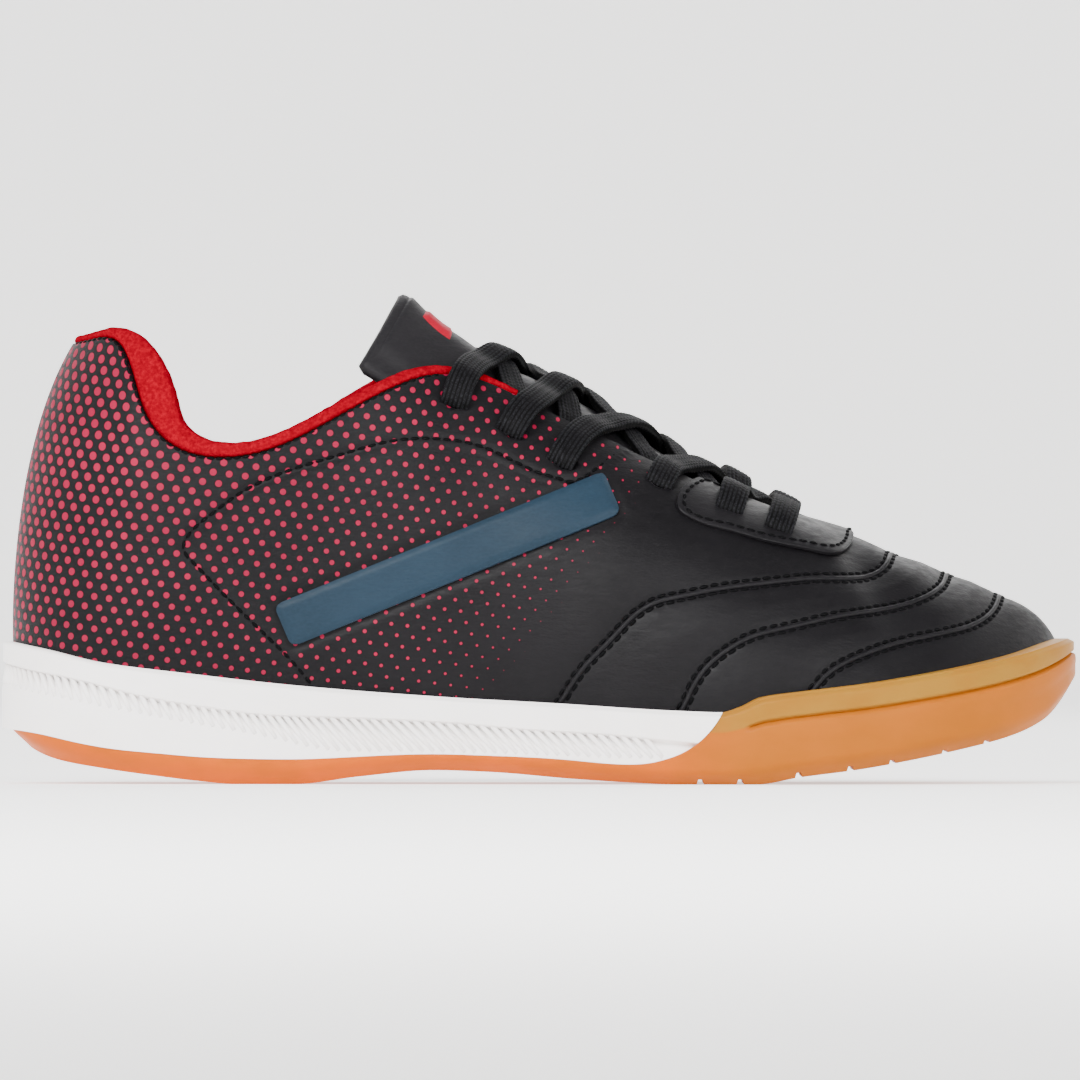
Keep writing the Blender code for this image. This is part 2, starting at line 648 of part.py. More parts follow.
def make_outsole():
    """Gum rubber: a thin sheet under the heel and waist, and a cup with a toe wall in front."""
    stations = stations_by_length(0, 6.5, 24) + stations_by_length(6.5, TIP, 32)[1:]
    outsole = sole_body("outsole", stations, OUTSOLE_BANDS, tread_height, "gum_rubber")
    line = seam_line(0.0)
    cut(outsole, seam_block("seam_above", line + [(line[-1][0], 0.09), (-0.02, 0.09)]))
    points, faces = [], []
    for along in TREAD_GROOVES:
        rings = tread_groove(along)
        faces += [tuple(len(points) + i for i in face) for face in ring_faces(rings)]
        points += [p for ring in rings for p in ring]
    cut(outsole, make_cutter("tread_grooves", points, faces))
    return outsole


def make_insole():
    """A flat liner on the footbed, clear of the upper's wall."""
    stations = stations_by_length(0, TIP, 34)
    low, high = [], []
    for station in both_sides(stations):
        place = outline(station) - (UPPER_INSET + UPPER_WALL + FIT_CLEARANCE) * outward(station)
        bed = bed_height(share(place[0])) + GAP
        low.append(np.array([place[0], place[1], bed]))
        high.append(np.array([place[0], place[1], bed + INSOLE_THICKNESS]))
    total = len(low)
    faces = plate_faces(len(stations), 0, total, True) + plate_faces(len(stations), total, total, False)
    for j in range(total):
        k = (j + 1) % total
        faces.append((j, k, total + k, total + j))
    return make_object("insole", low + high, faces, "black_textile")


UPPER_STATIONS = tuple(np.linspace(0, 2, 6)) + tuple(np.linspace(2, 4, 8))[1:]
UPPER_STATIONS += tuple(np.linspace(4, 8.5, 14))[1:] + (8.65, 8.8, 8.92, VAMP_STATION)
UPPER_STATIONS += tuple(np.linspace(VAMP_STATION, TIP, 9))[1:]
UPPER_LEVELS = (0.0, 0.11, 0.24, 0.38, 0.52, 0.66, 0.79, 0.90, 1.0)


class Shell:
    """A plate wrapped over the upper's wall, whose two sides share their points along the ridge."""

    def __init__(self, outer, inner):
        self.offsets = (outer, inner)
        self.points = []
        self.index = {}
        self.faces = []

    def corner(self, station, up, face):
        if up > 0.999 and closed_over(station) and station > TIP:
            station = LOOP - station
        key = (round(station, 6), round(up, 6), face)
        if key not in self.index:
            self.index[key] = len(self.points)
            self.points.append(shell_point(station, up, self.offsets[face]))
        return self.index[key]

    def quad(self, corners):
        for face in (0, 1):
            found = [self.corner(station, up, face) for station, up in corners]
            self.faces.append(tuple(reversed(found)) if face else tuple(found))

    def rim(self, start, end):
        found = [self.corner(*start, 1), self.corner(*end, 1), self.corner(*end, 0), self.corner(*start, 0)]
        self.faces.append(tuple(found))


def make_upper():
    """The hollow shell, open at the collar and throat and under the foot."""
    shell = Shell(0.0, -UPPER_WALL)
    columns = both_sides(list(UPPER_STATIONS))
    for here, there in zip(columns, columns[1:] + columns[:1]):
        for low, high in zip(UPPER_LEVELS, UPPER_LEVELS[1:]):
            shell.quad([(here, low), (there, low), (there, high), (here, high)])
        shell.rim((there, 0.0), (here, 0.0))
        if not (closed_over(here) and closed_over(there)):
            shell.rim((here, 1.0), (there, 1.0))
    upper = make_object("upper", shell.points, shell.faces, "black_leather")
    cut(upper, make_eyelet_punches())
    return upper


def side_place(spot):
    """The station and share of the wall that a place seen from the outer side falls on."""
    target = np.array([spot.along * SOLE_LENGTH, spot.height * INSTEP_HEIGHT])
    guess = np.array([math.acos(max(-1.0, 1 - 2 * spot.along)) * TIP / math.pi, 0.5])

    def seen(place):
        point = wall_point(place[0], place[1])
        return np.array([point[0], point[2]])

    for _ in range(30):
        miss = seen(guess) - target
        if np.linalg.norm(miss) < 1e-7:
            break
        step = 1e-3
        by_station = (seen(guess + [step, 0]) - seen(guess - [step, 0])) / (2 * step)
        by_up = (seen(guess + [0, step]) - seen(guess - [0, step])) / (2 * step)
        change = np.linalg.solve(np.stack([by_station, by_up], axis=1), miss)
        guess = guess - np.clip(change, -0.4, 0.4)
        guess[1] = min(max(guess[1], 0.0), 1.0)
    return float(guess[0]), float(guess[1])


def nearest_edge(spot):
    """The station of the throat's edge that lies square to a place beside it."""
    target = np.array([spot.along * SOLE_LENGTH, spot.height * INSTEP_HEIGHT])
    fine = np.linspace(6.0, 8.95, 240)
    seen = [wall_point(s, 1.0)[[0, 2]] for s in fine]
    return float(fine[int(np.argmin([np.linalg.norm(p - target) for p in seen]))])


EYELET_PLACES = tuple(side_place(spot) for spot in EYELETS)
EYELET_EDGES = tuple(nearest_edge(spot) for spot in EYELETS)


def on_side(station, inner_side):
    return LOOP - station if inner_side else station


def make_eyelet_punches():
    """Round punches through the wall at each eyelet of both sides."""
    sides = 10
    points, faces = [], []
    for station, up in EYELET_PLACES:
        for place in (station, LOOP - station):
            centre = wall_point(place, up)
            normal = wall_normal(place, up)
            across = np.cross(normal, [0, 0, 1])
            across /= np.linalg.norm(across)
            rising = np.cross(normal, across)
            rings = []
            for depth in (-2.2 * UPPER_WALL, 1.5 * UPPER_WALL):
                turns = [2 * math.pi * i / sides for i in range(sides)]
                spokes = [math.cos(turn) * across + math.sin(turn) * rising for turn in turns]
                rings.append([centre + depth * normal + EYELET_DIAMETER / 2 * spoke for spoke in spokes])
            faces += [tuple(len(points) + i for i in face) for face in ring_faces(rings)]
            points += [p for ring in rings for p in ring]
    return make_cutter("eyelet_punches", points, faces)


def share_below(station, depth):
    """The share of the wall at a distance below its top edge."""
    ups = np.linspace(1, 0.3, 40)
    line = np.array([wall_point(station, up) for up in ups])
    length = np.concatenate([[0], np.cumsum(np.linalg.norm(np.diff(line, axis=0), axis=1))])
    return float(np.interp(depth, length, ups))


def cuff_section(station):
    """The collar's padded roll at a station: over the edge of the wall and down its inner face."""
    side = min(station, LOOP - station)
    edge = wall_point(station, 1.0)
    normal = wall_normal(station, 1.0)
    along = wall_point(station + 0.02, 1.0) - wall_point(station - 0.02, 1.0)
    beyond = np.cross(along, normal)
    beyond *= np.sign(beyond @ (edge - wall_point(station, 0.9))) / np.linalg.norm(beyond)
    reach, pad, deep = cuff_reach(side), cuff_pad(side), cuff_deep(side)
    inside = UPPER_WALL + LINING_GAP
    section = (
        (-inside, deep),
        (-inside, 0.5 * deep),
        (-inside, -LINING_GAP),
        (0.0002, -LINING_GAP),
        (0.0002, -0.50 * reach - 0.50 * LINING_GAP),
        (-0.0010, -reach),
        (-0.0014 - 0.6 * pad, -0.84 * reach),
        (-inside - pad, 0.12 * deep),
        (-inside - 0.92 * pad, 0.60 * deep),
        (-inside - 0.4 * pad, deep),
    )
    ring = []
    for out, depth in section:
        if depth > 0:
            up = share_below(station, depth)
            ring.append(wall_point(station, up) + out * wall_normal(station, up))
        else:
            ring.append(edge + out * normal - depth * beyond)
    return ring


def make_collar_cuff():
    """The red lining that rolls over the collar's edge, one padded ring open at the throat."""
    outer = [s for s in UPPER_STATIONS if s < CUFF_END - 0.05] + [CUFF_END]
    stations = [LOOP - s for s in reversed(outer[1:])] + outer
    return make_sweep("collar_cuff", [cuff_section(s % LOOP) for s in stations], "red_textile")


def inside_clearance(station):
    """How far the tongue keeps under the upper's outer face: past the lining where that reaches."""
    lined = UPPER_WALL + LINING_GAP + cuff_pad(min(station, CUFF_END)) + 1.4 * FIT_CLEARANCE
    bare = UPPER_WALL + FIT_CLEARANCE
    ease = min(max((station - CUFF_END) / 0.4, 0.0), 1.0)
    return (1 - ease) * lined + ease * bare


def tongue_point(station, across):
    """A point of the tongue's top face between the throat's edges. across runs from outer side to inner."""
    depth = -inside_clearance(station)
    left = shell_point(station, 1.0, depth)
    right = shell_point(LOOP - station, 1.0, depth)
    rise = tongue_crown(station) * (1 - (2 * across - 1) ** 2)
    return (1 - across) * left + across * right + rise * np.array([0.45, 0.0, 0.89])


def tongue_row(station):
    """Points across the tongue: under each side's edge, with the crown between them."""
    depth = -inside_clearance(station)
    if station > VAMP_STATION - 0.15:
        ups = (0.80, 0.86, 0.915, 0.965)
        left = [shell_point(station, up, depth) for up in ups]
        right = [shell_point(LOOP - station, up, depth) for up in reversed(ups)]
        return left + [tongue_point(station, 0.5)] + right
    left = [shell_point(station, up, depth) for up in (0.80, 0.90, 1.0)]
    right = [shell_point(LOOP - station, up, depth) for up in (1.0, 0.90, 0.80)]
    return left + [tongue_point(station, across) for across in (0.25, 0.5, 0.75)] + right


def make_tongue():
    """The padded tongue: under the laces, and standing free above the instep."""
    throat = [tongue_row(s) for s in (TONGUE_START, 6.6, 7.0, 7.4, 7.8, 8.2, 8.6, 8.9, 9.2, 9.5)]
    base = np.array(throat[0])
    count = len(base)
    free = []
    for i, spot in enumerate(reversed(TONGUE_LINE)):
        ease = 1 - i / len(TONGUE_LINE)
        along, height = spot.along * SOLE_LENGTH, spot.height * TONGUE_TOP_HEIGHT
        row = []
        for j in range(count):
            t = 2 * j / (count - 1) - 1
            drop = TONGUE_DROP * t * t
            top = np.array([along - 0.67 * drop, t * TONGUE_HALF_WIDTH, height - drop])
            low = base[j] + np.array([along, 0, height]) - base[count // 2] * [1, 0, 1]
            row.append(ease * top + (1 - ease) * low)
        free.append(row)
    grid = np.array(free + throat)
    normals = np.zeros_like(grid)
    last_row, last = grid.shape[0] - 1, count - 1
    for i in range(last_row + 1):
        for j in range(count):
            down = grid[min(i + 1, last_row), j] - grid[max(i - 1, 0), j]
            across = grid[i, min(j + 1, last)] - grid[i, max(j - 1, 0)]
            normal = np.cross(down, across)
            normals[i, j] = normal / np.linalg.norm(normal)
    return make_slab("tongue", grid, grid - TONGUE_WALL * normals, "black_leather")


def make_slab(name, outside, inside, finish):
    """A closed plate between two grids of points."""
    rows, columns = outside.shape[:2]
    size = rows * columns
    points = [p for face in (outside, inside) for row in face for p in row]
    faces = []
    for i in range(rows - 1):
        for j in range(columns - 1):
            here, below = i * columns + j, (i + 1) * columns + j
            quad = (here, here + 1, below + 1, below)
            faces.append(quad)
            faces.append(tuple(size + k for k in reversed(quad)))
    border = [(0, j) for j in range(columns)] + [(i, columns - 1) for i in range(1, rows)]
    border += [(rows - 1, j) for j in range(columns - 2, -1, -1)] + [(i, 0) for i in range(rows - 2, 0, -1)]
    for a, b in zip(border, border[1:] + border[:1]):
        first, second = a[0] * columns + a[1], b[0] * columns + b[1]
        faces.append((second, first, size + first, size + second))
    return make_object(name, points, faces, finish)


def lace_strip(name, path, broad_normals):
    """A flat lace along a path, its broad side turned to the given normals."""
    half, edge = LACE_WIDTH / 2, LACE_THICKNESS / 2
    section = ((-half, 0), (-0.78 * half, edge), (0.78 * half, edge))
    section += tuple((-w, -h) for w, h in section)
    rings = []
    for i, point in enumerate(path):
        along = path[min(i + 1, len(path) - 1)] - path[max(i - 1, 0)]
        along /= np.linalg.norm(along)
        normal = broad_normals[i] - (broad_normals[i] @ along) * along
        normal /= np.linalg.norm(normal)
        across = np.cross(along, normal)
        rings.append([point + w * across + h * normal for w, h in section])
    return make_sweep(name, rings, "black_lace")


def smooth_route(points, count):
    """A smooth curve through a few points."""
    points = np.array(points)
    length = np.concatenate([[0], np.cumsum(np.linalg.norm(np.diff(points, axis=0), axis=1))])
    axes = [curve(length, points[:, axis]) for axis in range(3)]
    return [np.array([axis(t) for axis in axes]) for t in np.linspace(0, length[-1], count)]


# Where a lace comes out from under the edge of the throat, in stations before the next lace's own edge.
LACE_STEP = 0.262
TONGUE_UP = np.array([0.45, 0.0, 0.89])


def lace_lift(station):
    """How high a lace's middle lies over the upper: higher over the stay, and over the lining's end."""
    stay = min(max((station - 7.1) / 0.4, 0.0), 1.0) * (OVERLAY_GAP + OVERLAY_WALL)
    lining = min(max((6.75 - station) / 0.3, 0.0), 1.0) * 0.0008
    return LACE_LIFT + LACE_THICKNESS / 2 + stay + lining


def lace_route(upper_eyelet, lower_edge, inner_side, extra):
    """From an eyelet over the edge and the tongue, to the edge of the throat on the other side."""
    station, up = EYELET_PLACES[upper_eyelet]
    edge = EYELET_EDGES[upper_eyelet]
    near, far = on_side(edge, inner_side), on_side(lower_edge, not inner_side)
    lift = lace_lift(station)
    route = [shell_point(on_side(station, inner_side), up, lift), shell_point(near, 1.0, lift + 0.0007)]
    lift = LACE_LIFT + LACE_THICKNESS / 2
    for t in (0.28, 0.5, 0.72):
        between = (1 - t) * edge + t * lower_edge
        across = 1 - t if inner_side else t
        arch = LACE_ARCH * (1 - (2 * t - 1) ** 2)
        route.append(tongue_point(between, across) + (lift + FIT_CLEARANCE + arch + extra) * TONGUE_UP)
    route.append(shell_point(far, 1.0, lace_lift(lower_edge) + 0.0003))
    ends = (wall_normal(on_side(station, inner_side), up), TONGUE_UP, 0.5 * wall_normal(far, 0.98) + 0.5 * TONGUE_UP)
    return route, ends


def lace_from(name, route, ends):
    path = smooth_route(route, 10)
    normals = []
    for i in range(len(path)):
        t = 2 * i / (len(path) - 1)
        normal = (1 - t) * ends[0] + t * ends[1] if t < 1 else (2 - t) * ends[1] + (t - 1) * ends[2]
        normals.append(normal / np.linalg.norm(normal))
    return lace_strip(name, path, normals)


def make_laces():
    """Five crossings, each of two strands joined where they cross, and the bar at the toe end."""
    for upper_eyelet in range(len(EYELETS) - 1):
        lower_edge = EYELET_EDGES[upper_eyelet + 1] - LACE_STEP
        number = upper_eyelet + 1
        over = lace_from(f"lace_cross_{number}", *lace_route(upper_eyelet, lower_edge, False, 0.0006))
        under = lace_from(f"lace_under_{number}", *lace_route(upper_eyelet, lower_edge, True, -0.0002))
        under.hide_render = True
        under.display_type = "WIRE"
        cut(over, under, "UNION")
    last = len(EYELETS) - 1
    station, up = EYELET_PLACES[last]
    edge = EYELET_EDGES[last]
    lift = lace_lift(station)
    route, _ = lace_route(last, edge, False, 0.0024)
    route[-1] = shell_point(LOOP - edge, 1.0, lift + 0.0007)
    route.append(shell_point(LOOP - station, up, lift))
    normal = wall_normal(station, up)
    lace_from("lace_bar", route, (normal, TONGUE_UP, normal * [1, -1, 1]))


def make_vamp_stay():
    """The stay round the front of the throat: one bent plate over both sides and the ridge."""
    shell = Shell(OVERLAY_GAP + OVERLAY_WALL, OVERLAY_GAP)
    outer = [side_place(spot) for spot in VAMP_STAY_EDGE]
    before = len(outer) - 3
    tops = list(np.linspace(outer[0][0], VAMP_STATION, before)) + [9.17, 9.34, 9.50]
    for inner_side in (False, True):
        columns = []
        for (station, up), top in zip(outer, tops):
            steps = (0.0, 0.34, 0.67, 1.0)
            column = [(on_side(station + t * (top - station), inner_side), up + t * (1 - up)) for t in steps]
            columns.append(column)
        for here, there in zip(columns, columns[1:]):
            for low in range(3):
                shell.quad([here[low], there[low], there[low + 1], here[low + 1]])
            shell.rim(there[0], here[0])
            if not (closed_over(here[3][0]) and closed_over(there[3][0])):
                shell.rim(here[3], there[3])
        for column in (columns[0], columns[-1]):
            for low in range(3):
                shell.rim(column[low], column[low + 1])
    return make_object("vamp_stay", shell.points, shell.faces, "black_leather")


def make_quarter_band(name, inner_side):
    """The plain raised band across the quarter of one side."""
    rows, columns = 12, 5
    spots = [np.array(spot) for spot in QUARTER_BAND]
    outside, inside = np.zeros((rows, columns, 3)), np.zeros((rows, columns, 3))
    for i in range(rows):
        t = i / (rows - 1)
        for j in range(columns):
            s = j / (columns - 1)
            start = (1 - s) * spots[0] + s * spots[1]
            end = (1 - s) * spots[3] + s * spots[2]
            station, up = side_place(Spot(*((1 - t) * start + t * end)))
            place = on_side(station, inner_side)
            outside[i, j] = shell_point(place, up, OVERLAY_GAP + OVERLAY_WALL)
            inside[i, j] = shell_point(place, up, OVERLAY_GAP)
    return make_slab(name, outside, inside, "slate_leather")


def main():
    make_outsole()
    make_midsole()
    make_insole()
    make_upper()
    make_collar_cuff()
    make_tongue()
    make_laces()
    make_vamp_stay()
    make_quarter_band("quarter_band_outer", False)
    make_quarter_band("quarter_band_inner", True)


main()
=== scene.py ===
"""Indoor soccer shoe for the right foot, dressed for the render, in the frame of the CAD model.

Stations run round the last as in the CAD source: 0 is the back of the heel, 12 the tip of the toe, the outer
side is 0 to 12 and the inner side 12 to 24. Shapes are worked out from the heel and moved to the row's origin
when a mesh is made.
"""

import logging
import math
from dataclasses import dataclass, field
from enum import Enum
from typing import Callable

import bmesh
import bpy
import numpy as np
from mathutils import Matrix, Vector, noise
from mathutils.kdtree import KDTree


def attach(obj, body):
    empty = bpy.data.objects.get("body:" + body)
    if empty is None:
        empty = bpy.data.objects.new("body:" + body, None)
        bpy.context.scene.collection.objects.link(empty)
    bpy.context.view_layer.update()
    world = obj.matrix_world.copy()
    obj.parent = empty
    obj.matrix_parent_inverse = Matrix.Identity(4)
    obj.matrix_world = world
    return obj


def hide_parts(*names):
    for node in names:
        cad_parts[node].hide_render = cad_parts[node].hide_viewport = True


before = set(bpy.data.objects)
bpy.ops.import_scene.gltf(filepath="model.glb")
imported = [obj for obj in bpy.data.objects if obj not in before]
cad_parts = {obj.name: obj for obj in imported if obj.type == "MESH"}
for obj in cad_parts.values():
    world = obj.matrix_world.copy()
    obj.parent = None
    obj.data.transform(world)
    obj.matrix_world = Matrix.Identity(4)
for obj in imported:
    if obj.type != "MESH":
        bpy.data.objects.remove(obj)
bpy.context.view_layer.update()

LOG = logging.getLogger("shoe")
MM = 0.001
SOLE_LENGTH = 0.230
UPPER_INSET = 0.0030
GAP = 0.0003
TIP = 12.0
LOOP = 24.0
VAMP_STATION = 9.0
ROW_GAP = 1.7 * MM
PHOTO_SCALE = 0.21356 * MM
PHOTO_HEEL = 1.0
PHOTO_FLOOR = 784.0
TONGUE_UP = np.array([0.451, 0.0, 0.892])

# One row for each section: station, distance outwards and inwards from the heel's axis (mm), then how the
# wall bulges and rises from its foot, and reaches and falls from its edge (mm).
SECTIONS = np.array([
    (0, 0.0, 0.0, 2.0, 20.0, 11.2, 18.5),
    (1, 13.64, 13.516, 2.2, 20.5, 9.4, 20.0),
    (2, 24.8, 24.18, 2.6, 21.0, 5.0, 21.0),
    (3, 30.38, 29.636, 2.8, 20.0, 3.0, 18.0),
    (4, 32.24, 29.512, 2.6, 18.0, 2.0, 17.0),
    (5, 33.6, 26.4, 2.4, 22.0, 5.0, 19.0),
    (6, 37.2, 25.8, 2.0, 25.0, 11.0, 14.0),
    (7, 42.0, 32.34, 1.8, 24.0, 15.0, 8.5),
    (8, 43.008, 39.984, 1.6, 21.0, 17.0, 5.5),
    (9, 36.624, 39.816, 1.4, 17.5, 19.0, 2.2),
    (10, 24.192, 32.928, 1.3, 14.0, 16.5, 3.0),
    (11, 8.736, 21.168, 1.2, 11.0, 13.0, 3.0),
    (12, -6.5, 6.5, 1.2, 10.2, 11.0, 2.7),
])
# The upper's top edge: station, share of the length, half the opening, its middle line, height, and what the
# inner side adds (mm).
TOP_EDGE = np.array([
    (0.0, 0.066, 0.0, 0.0, 93.928, 0.0),
    (1.0, 0.084, 11.2, 0.0, 94.778, 0.0),
    (2.0, 0.111, 19.32, 0.0, 92.89, 0.0),
    (2.5, 0.122, 22.68, 0.0, 86.093, 0.0),
    (3.0, 0.138, 25.088, 0.0, 76.936, 0.0),
    (3.5, 0.173, 26.992, 0.0, 70.574, 0.0),
    (4.0, 0.224, 28.0, 0.0, 69.739, 0.0),
    (4.5, 0.272, 27.216, 0.0, 73.219, 0.2),
    (5.0, 0.320, 25.2, 0.0, 79.097, 0.8),
    (5.5, 0.372, 21.728, -0.2, 85.215, 1.7),
    (6.0, 0.420, 16.24, -0.6, 87.225, 2.8),
    (6.25, 0.450, 14.645, -0.9, 85.652, 3.5),
    (6.5, 0.485, 13.63, -1.2, 81.981, 5.0),
    (7.0, 0.555, 12.325, -1.4, 74.115, 6.7),
    (7.5, 0.616, 11.4, -1.2, 67.387, 4.8),
    (8.0, 0.669, 10.07, -0.8, 62.105, 3.0),
    (8.5, 0.716, 7.6, -0.4, 57.824, 1.1),
    (8.8, 0.741, 3.99, -0.1, 56.156, 0.2),
    (9.0, 0.750, 0.0, 0.0, 55.6, 0.0),
    (9.5, 0.785, 0.0, 0.325, 53.154, 0.0),
    (10.0, 0.822, 0.0, 1.04, 49.934, 0.0),
    (11.0, 0.880, 0.0, 3.25, 44.908, 0.0),
    (12.0, 0.917, 0.0, 4.68, 41.2, 0.0),
])
# Heights along the shoe (share of the length, mm): the tread, the sole's rim, the footbed and the seam.
TREAD = np.array([
    (0.0, 10.0), (0.012, 7.6), (0.040, 5.2), (0.084, 3.5), (0.140, 1.8), (0.185, 0.6), (0.217, 0.0),
    (0.272, 0.0), (0.330, 1.59), (0.400, 3.0), (0.450, 2.64), (0.530, 1.14), (0.590, 0.3), (0.622, 0.0),
    (0.700, 0.0), (0.742, 1.507), (0.800, 3.151), (0.850, 5.069), (0.905, 7.672), (0.945, 10.275),
    (0.974, 13.7), (0.991, 17.947), (1.0, 21.372),
])
RIM = np.array([
    (0.0, 30.9), (0.045, 28.737), (0.095, 26.018), (0.170, 23.793), (0.276, 21.09), (0.415, 18.62),
    (0.515, 17.316), (0.625, 15.756), (0.668, 15.413), (0.685, 16.536), (0.704, 18.564), (0.746, 19.92),
    (0.800, 21.42), (0.886, 24.78), (0.935, 27.45), (0.970, 30.15), (1.0, 32.25),
])
BED = np.array([
    (0.0, 21.5), (0.1, 19.565), (0.2, 17.415), (0.3, 15.265), (0.4, 13.33), (0.5, 11.16), (0.6, 9.54),
    (0.66, 9.0), (0.72, 9.0), (0.80, 10.25), (0.88, 12.915), (0.94, 16.195), (1.0, 20.5),
])
SEAM = np.array([
    (0.0, 11.77), (0.030, 10.86), (0.064, 9.164), (0.102, 7.572), (0.146, 6.572), (0.180, 5.89),
    (0.235, 5.394), (0.276, 5.332), (0.330, 5.846), (0.400, 6.42), (0.450, 6.134), (0.530, 5.15),
    (0.584, 4.256), (0.600, 4.484), (0.614, 5.168), (0.638, 7.41), (0.656, 10.83), (0.6655, 13.68),
    (0.6720, 16.72), (0.6760, 21.28),
])
SEAM_CLIMB = 14  # the rows of SEAM up to where it climbs the side


def place_seen(points: list[tuple[float, float]]) -> np.ndarray:
    """Turn places read off the side view, in its pixels, into lengths from the heel and heights.

    Args:
        points: Pairs of pixel column and row.

    Returns:
        An array of pairs in metres.
    """
    seen = np.array(points, float)
    return np.stack([(seen[:, 0] - PHOTO_HEEL), (PHOTO_FLOOR - seen[:, 1])], axis=1) * PHOTO_SCALE


class Spline:
    """A smooth function of one number through given values."""

    def __init__(self, knots: np.ndarray, values: np.ndarray, level: bool = False) -> None:
        """Fit the curve.

        Args:
            knots: Rising places.
            values: The value at each place.
            level: Whether a stretch of equal values stays level.
        """
        self.knots = np.asarray(knots, float)
        self.values = np.asarray(values, float)
        self.slopes = self._level_slopes() if level else self._natural_slopes()

    def _natural_slopes(self) -> np.ndarray:
        """Slopes of the natural cubic spline."""
        count = len(self.knots)
        step = np.diff(self.knots)
        rise = np.diff(self.values) / step
        matrix = np.zeros((count, count))
        right = np.zeros(count)
        matrix[0, :2] = 2.0, 1.0
        matrix[-1, -2:] = 1.0, 2.0
        right[0], right[-1] = 3.0 * rise[0], 3.0 * rise[-1]
        for i in range(1, count - 1):
            matrix[i, i - 1:i + 2] = step[i], 2.0 * (step[i - 1] + step[i]), step[i - 1]
            right[i] = 3.0 * (step[i] * rise[i - 1] + step[i - 1] * rise[i])
        return np.linalg.solve(matrix, right)

    def _level_slopes(self) -> np.ndarray:
        """Slopes that never overshoot."""
        step = np.diff(self.knots)
        rise = np.diff(self.values) / step
        slopes = np.zeros(len(self.knots))
        slopes[0], slopes[-1] = rise[0], rise[-1]
        for i in range(1, len(slopes) - 1):
            before, after = rise[i - 1], rise[i]
            if before * after > 0:
                near, far = 2.0 * step[i] + step[i - 1], step[i] + 2.0 * step[i - 1]
                slopes[i] = (near + far) / (near / before + far / after)
        return slopes

    def __call__(self, place: np.ndarray | float) -> np.ndarray:
        """The value at each place, held at the end values beyond the ends."""
        place = np.clip(np.asarray(place, float), self.knots[0], self.knots[-1])
        i = np.clip(np.searchsorted(self.knots, place, side="right") - 1, 0, len(self.knots) - 2)
        width = self.knots[i + 1] - self.knots[i]
        t = (place - self.knots[i]) / width
        return (
            self.values[i] * (1 + 2 * t) * (1 - t) ** 2
            + self.values[i + 1] * t * t * (3 - 2 * t)
            + width * self.slopes[i] * t * (1 - t) ** 2
            - width * self.slopes[i + 1] * t * t * (1 - t)
        )


def loop_spline(stations: np.ndarray, outer: np.ndarray, inner: np.ndarray) -> Spline:
    """A value that runs smoothly round the whole last.

    Args:
        stations: Stations of one side, from 0 to 12.
        outer: The value on the outer side.
        inner: The value on the inner side.

    Returns:
        A spline over stations 0 to 24.
    """
    near = (stations > 0) & (stations <= 3)
    between = (stations > 0) & (stations < TIP)
    knots = np.concatenate([-stations[near], stations, LOOP - stations[between], [LOOP], LOOP + stations[near]])
    values = np.concatenate([inner[near], outer, inner[between], [outer[0]], outer[near]])
    order = np.argsort(knots)
    return Spline(knots[order], values[order])


def unit(vectors: np.ndarray) -> np.ndarray:
    """The vectors at length one."""
    return vectors / np.maximum(np.linalg.norm(vectors, axis=-1, keepdims=True), 1e-12)


def ease(value: np.ndarray | float, start: float, end: float) -> np.ndarray:
    """A smooth step from 0 at start to 1 at end."""
    t = np.clip((np.asarray(value, float) - start) / (end - start), 0.0, 1.0)
    return t * t * (3 - 2 * t)


def travelled(points: np.ndarray) -> np.ndarray:
    """How far along a line each of its points lies."""
    return np.concatenate([[0.0], np.linalg.norm(np.diff(points, axis=0), axis=1).cumsum()])


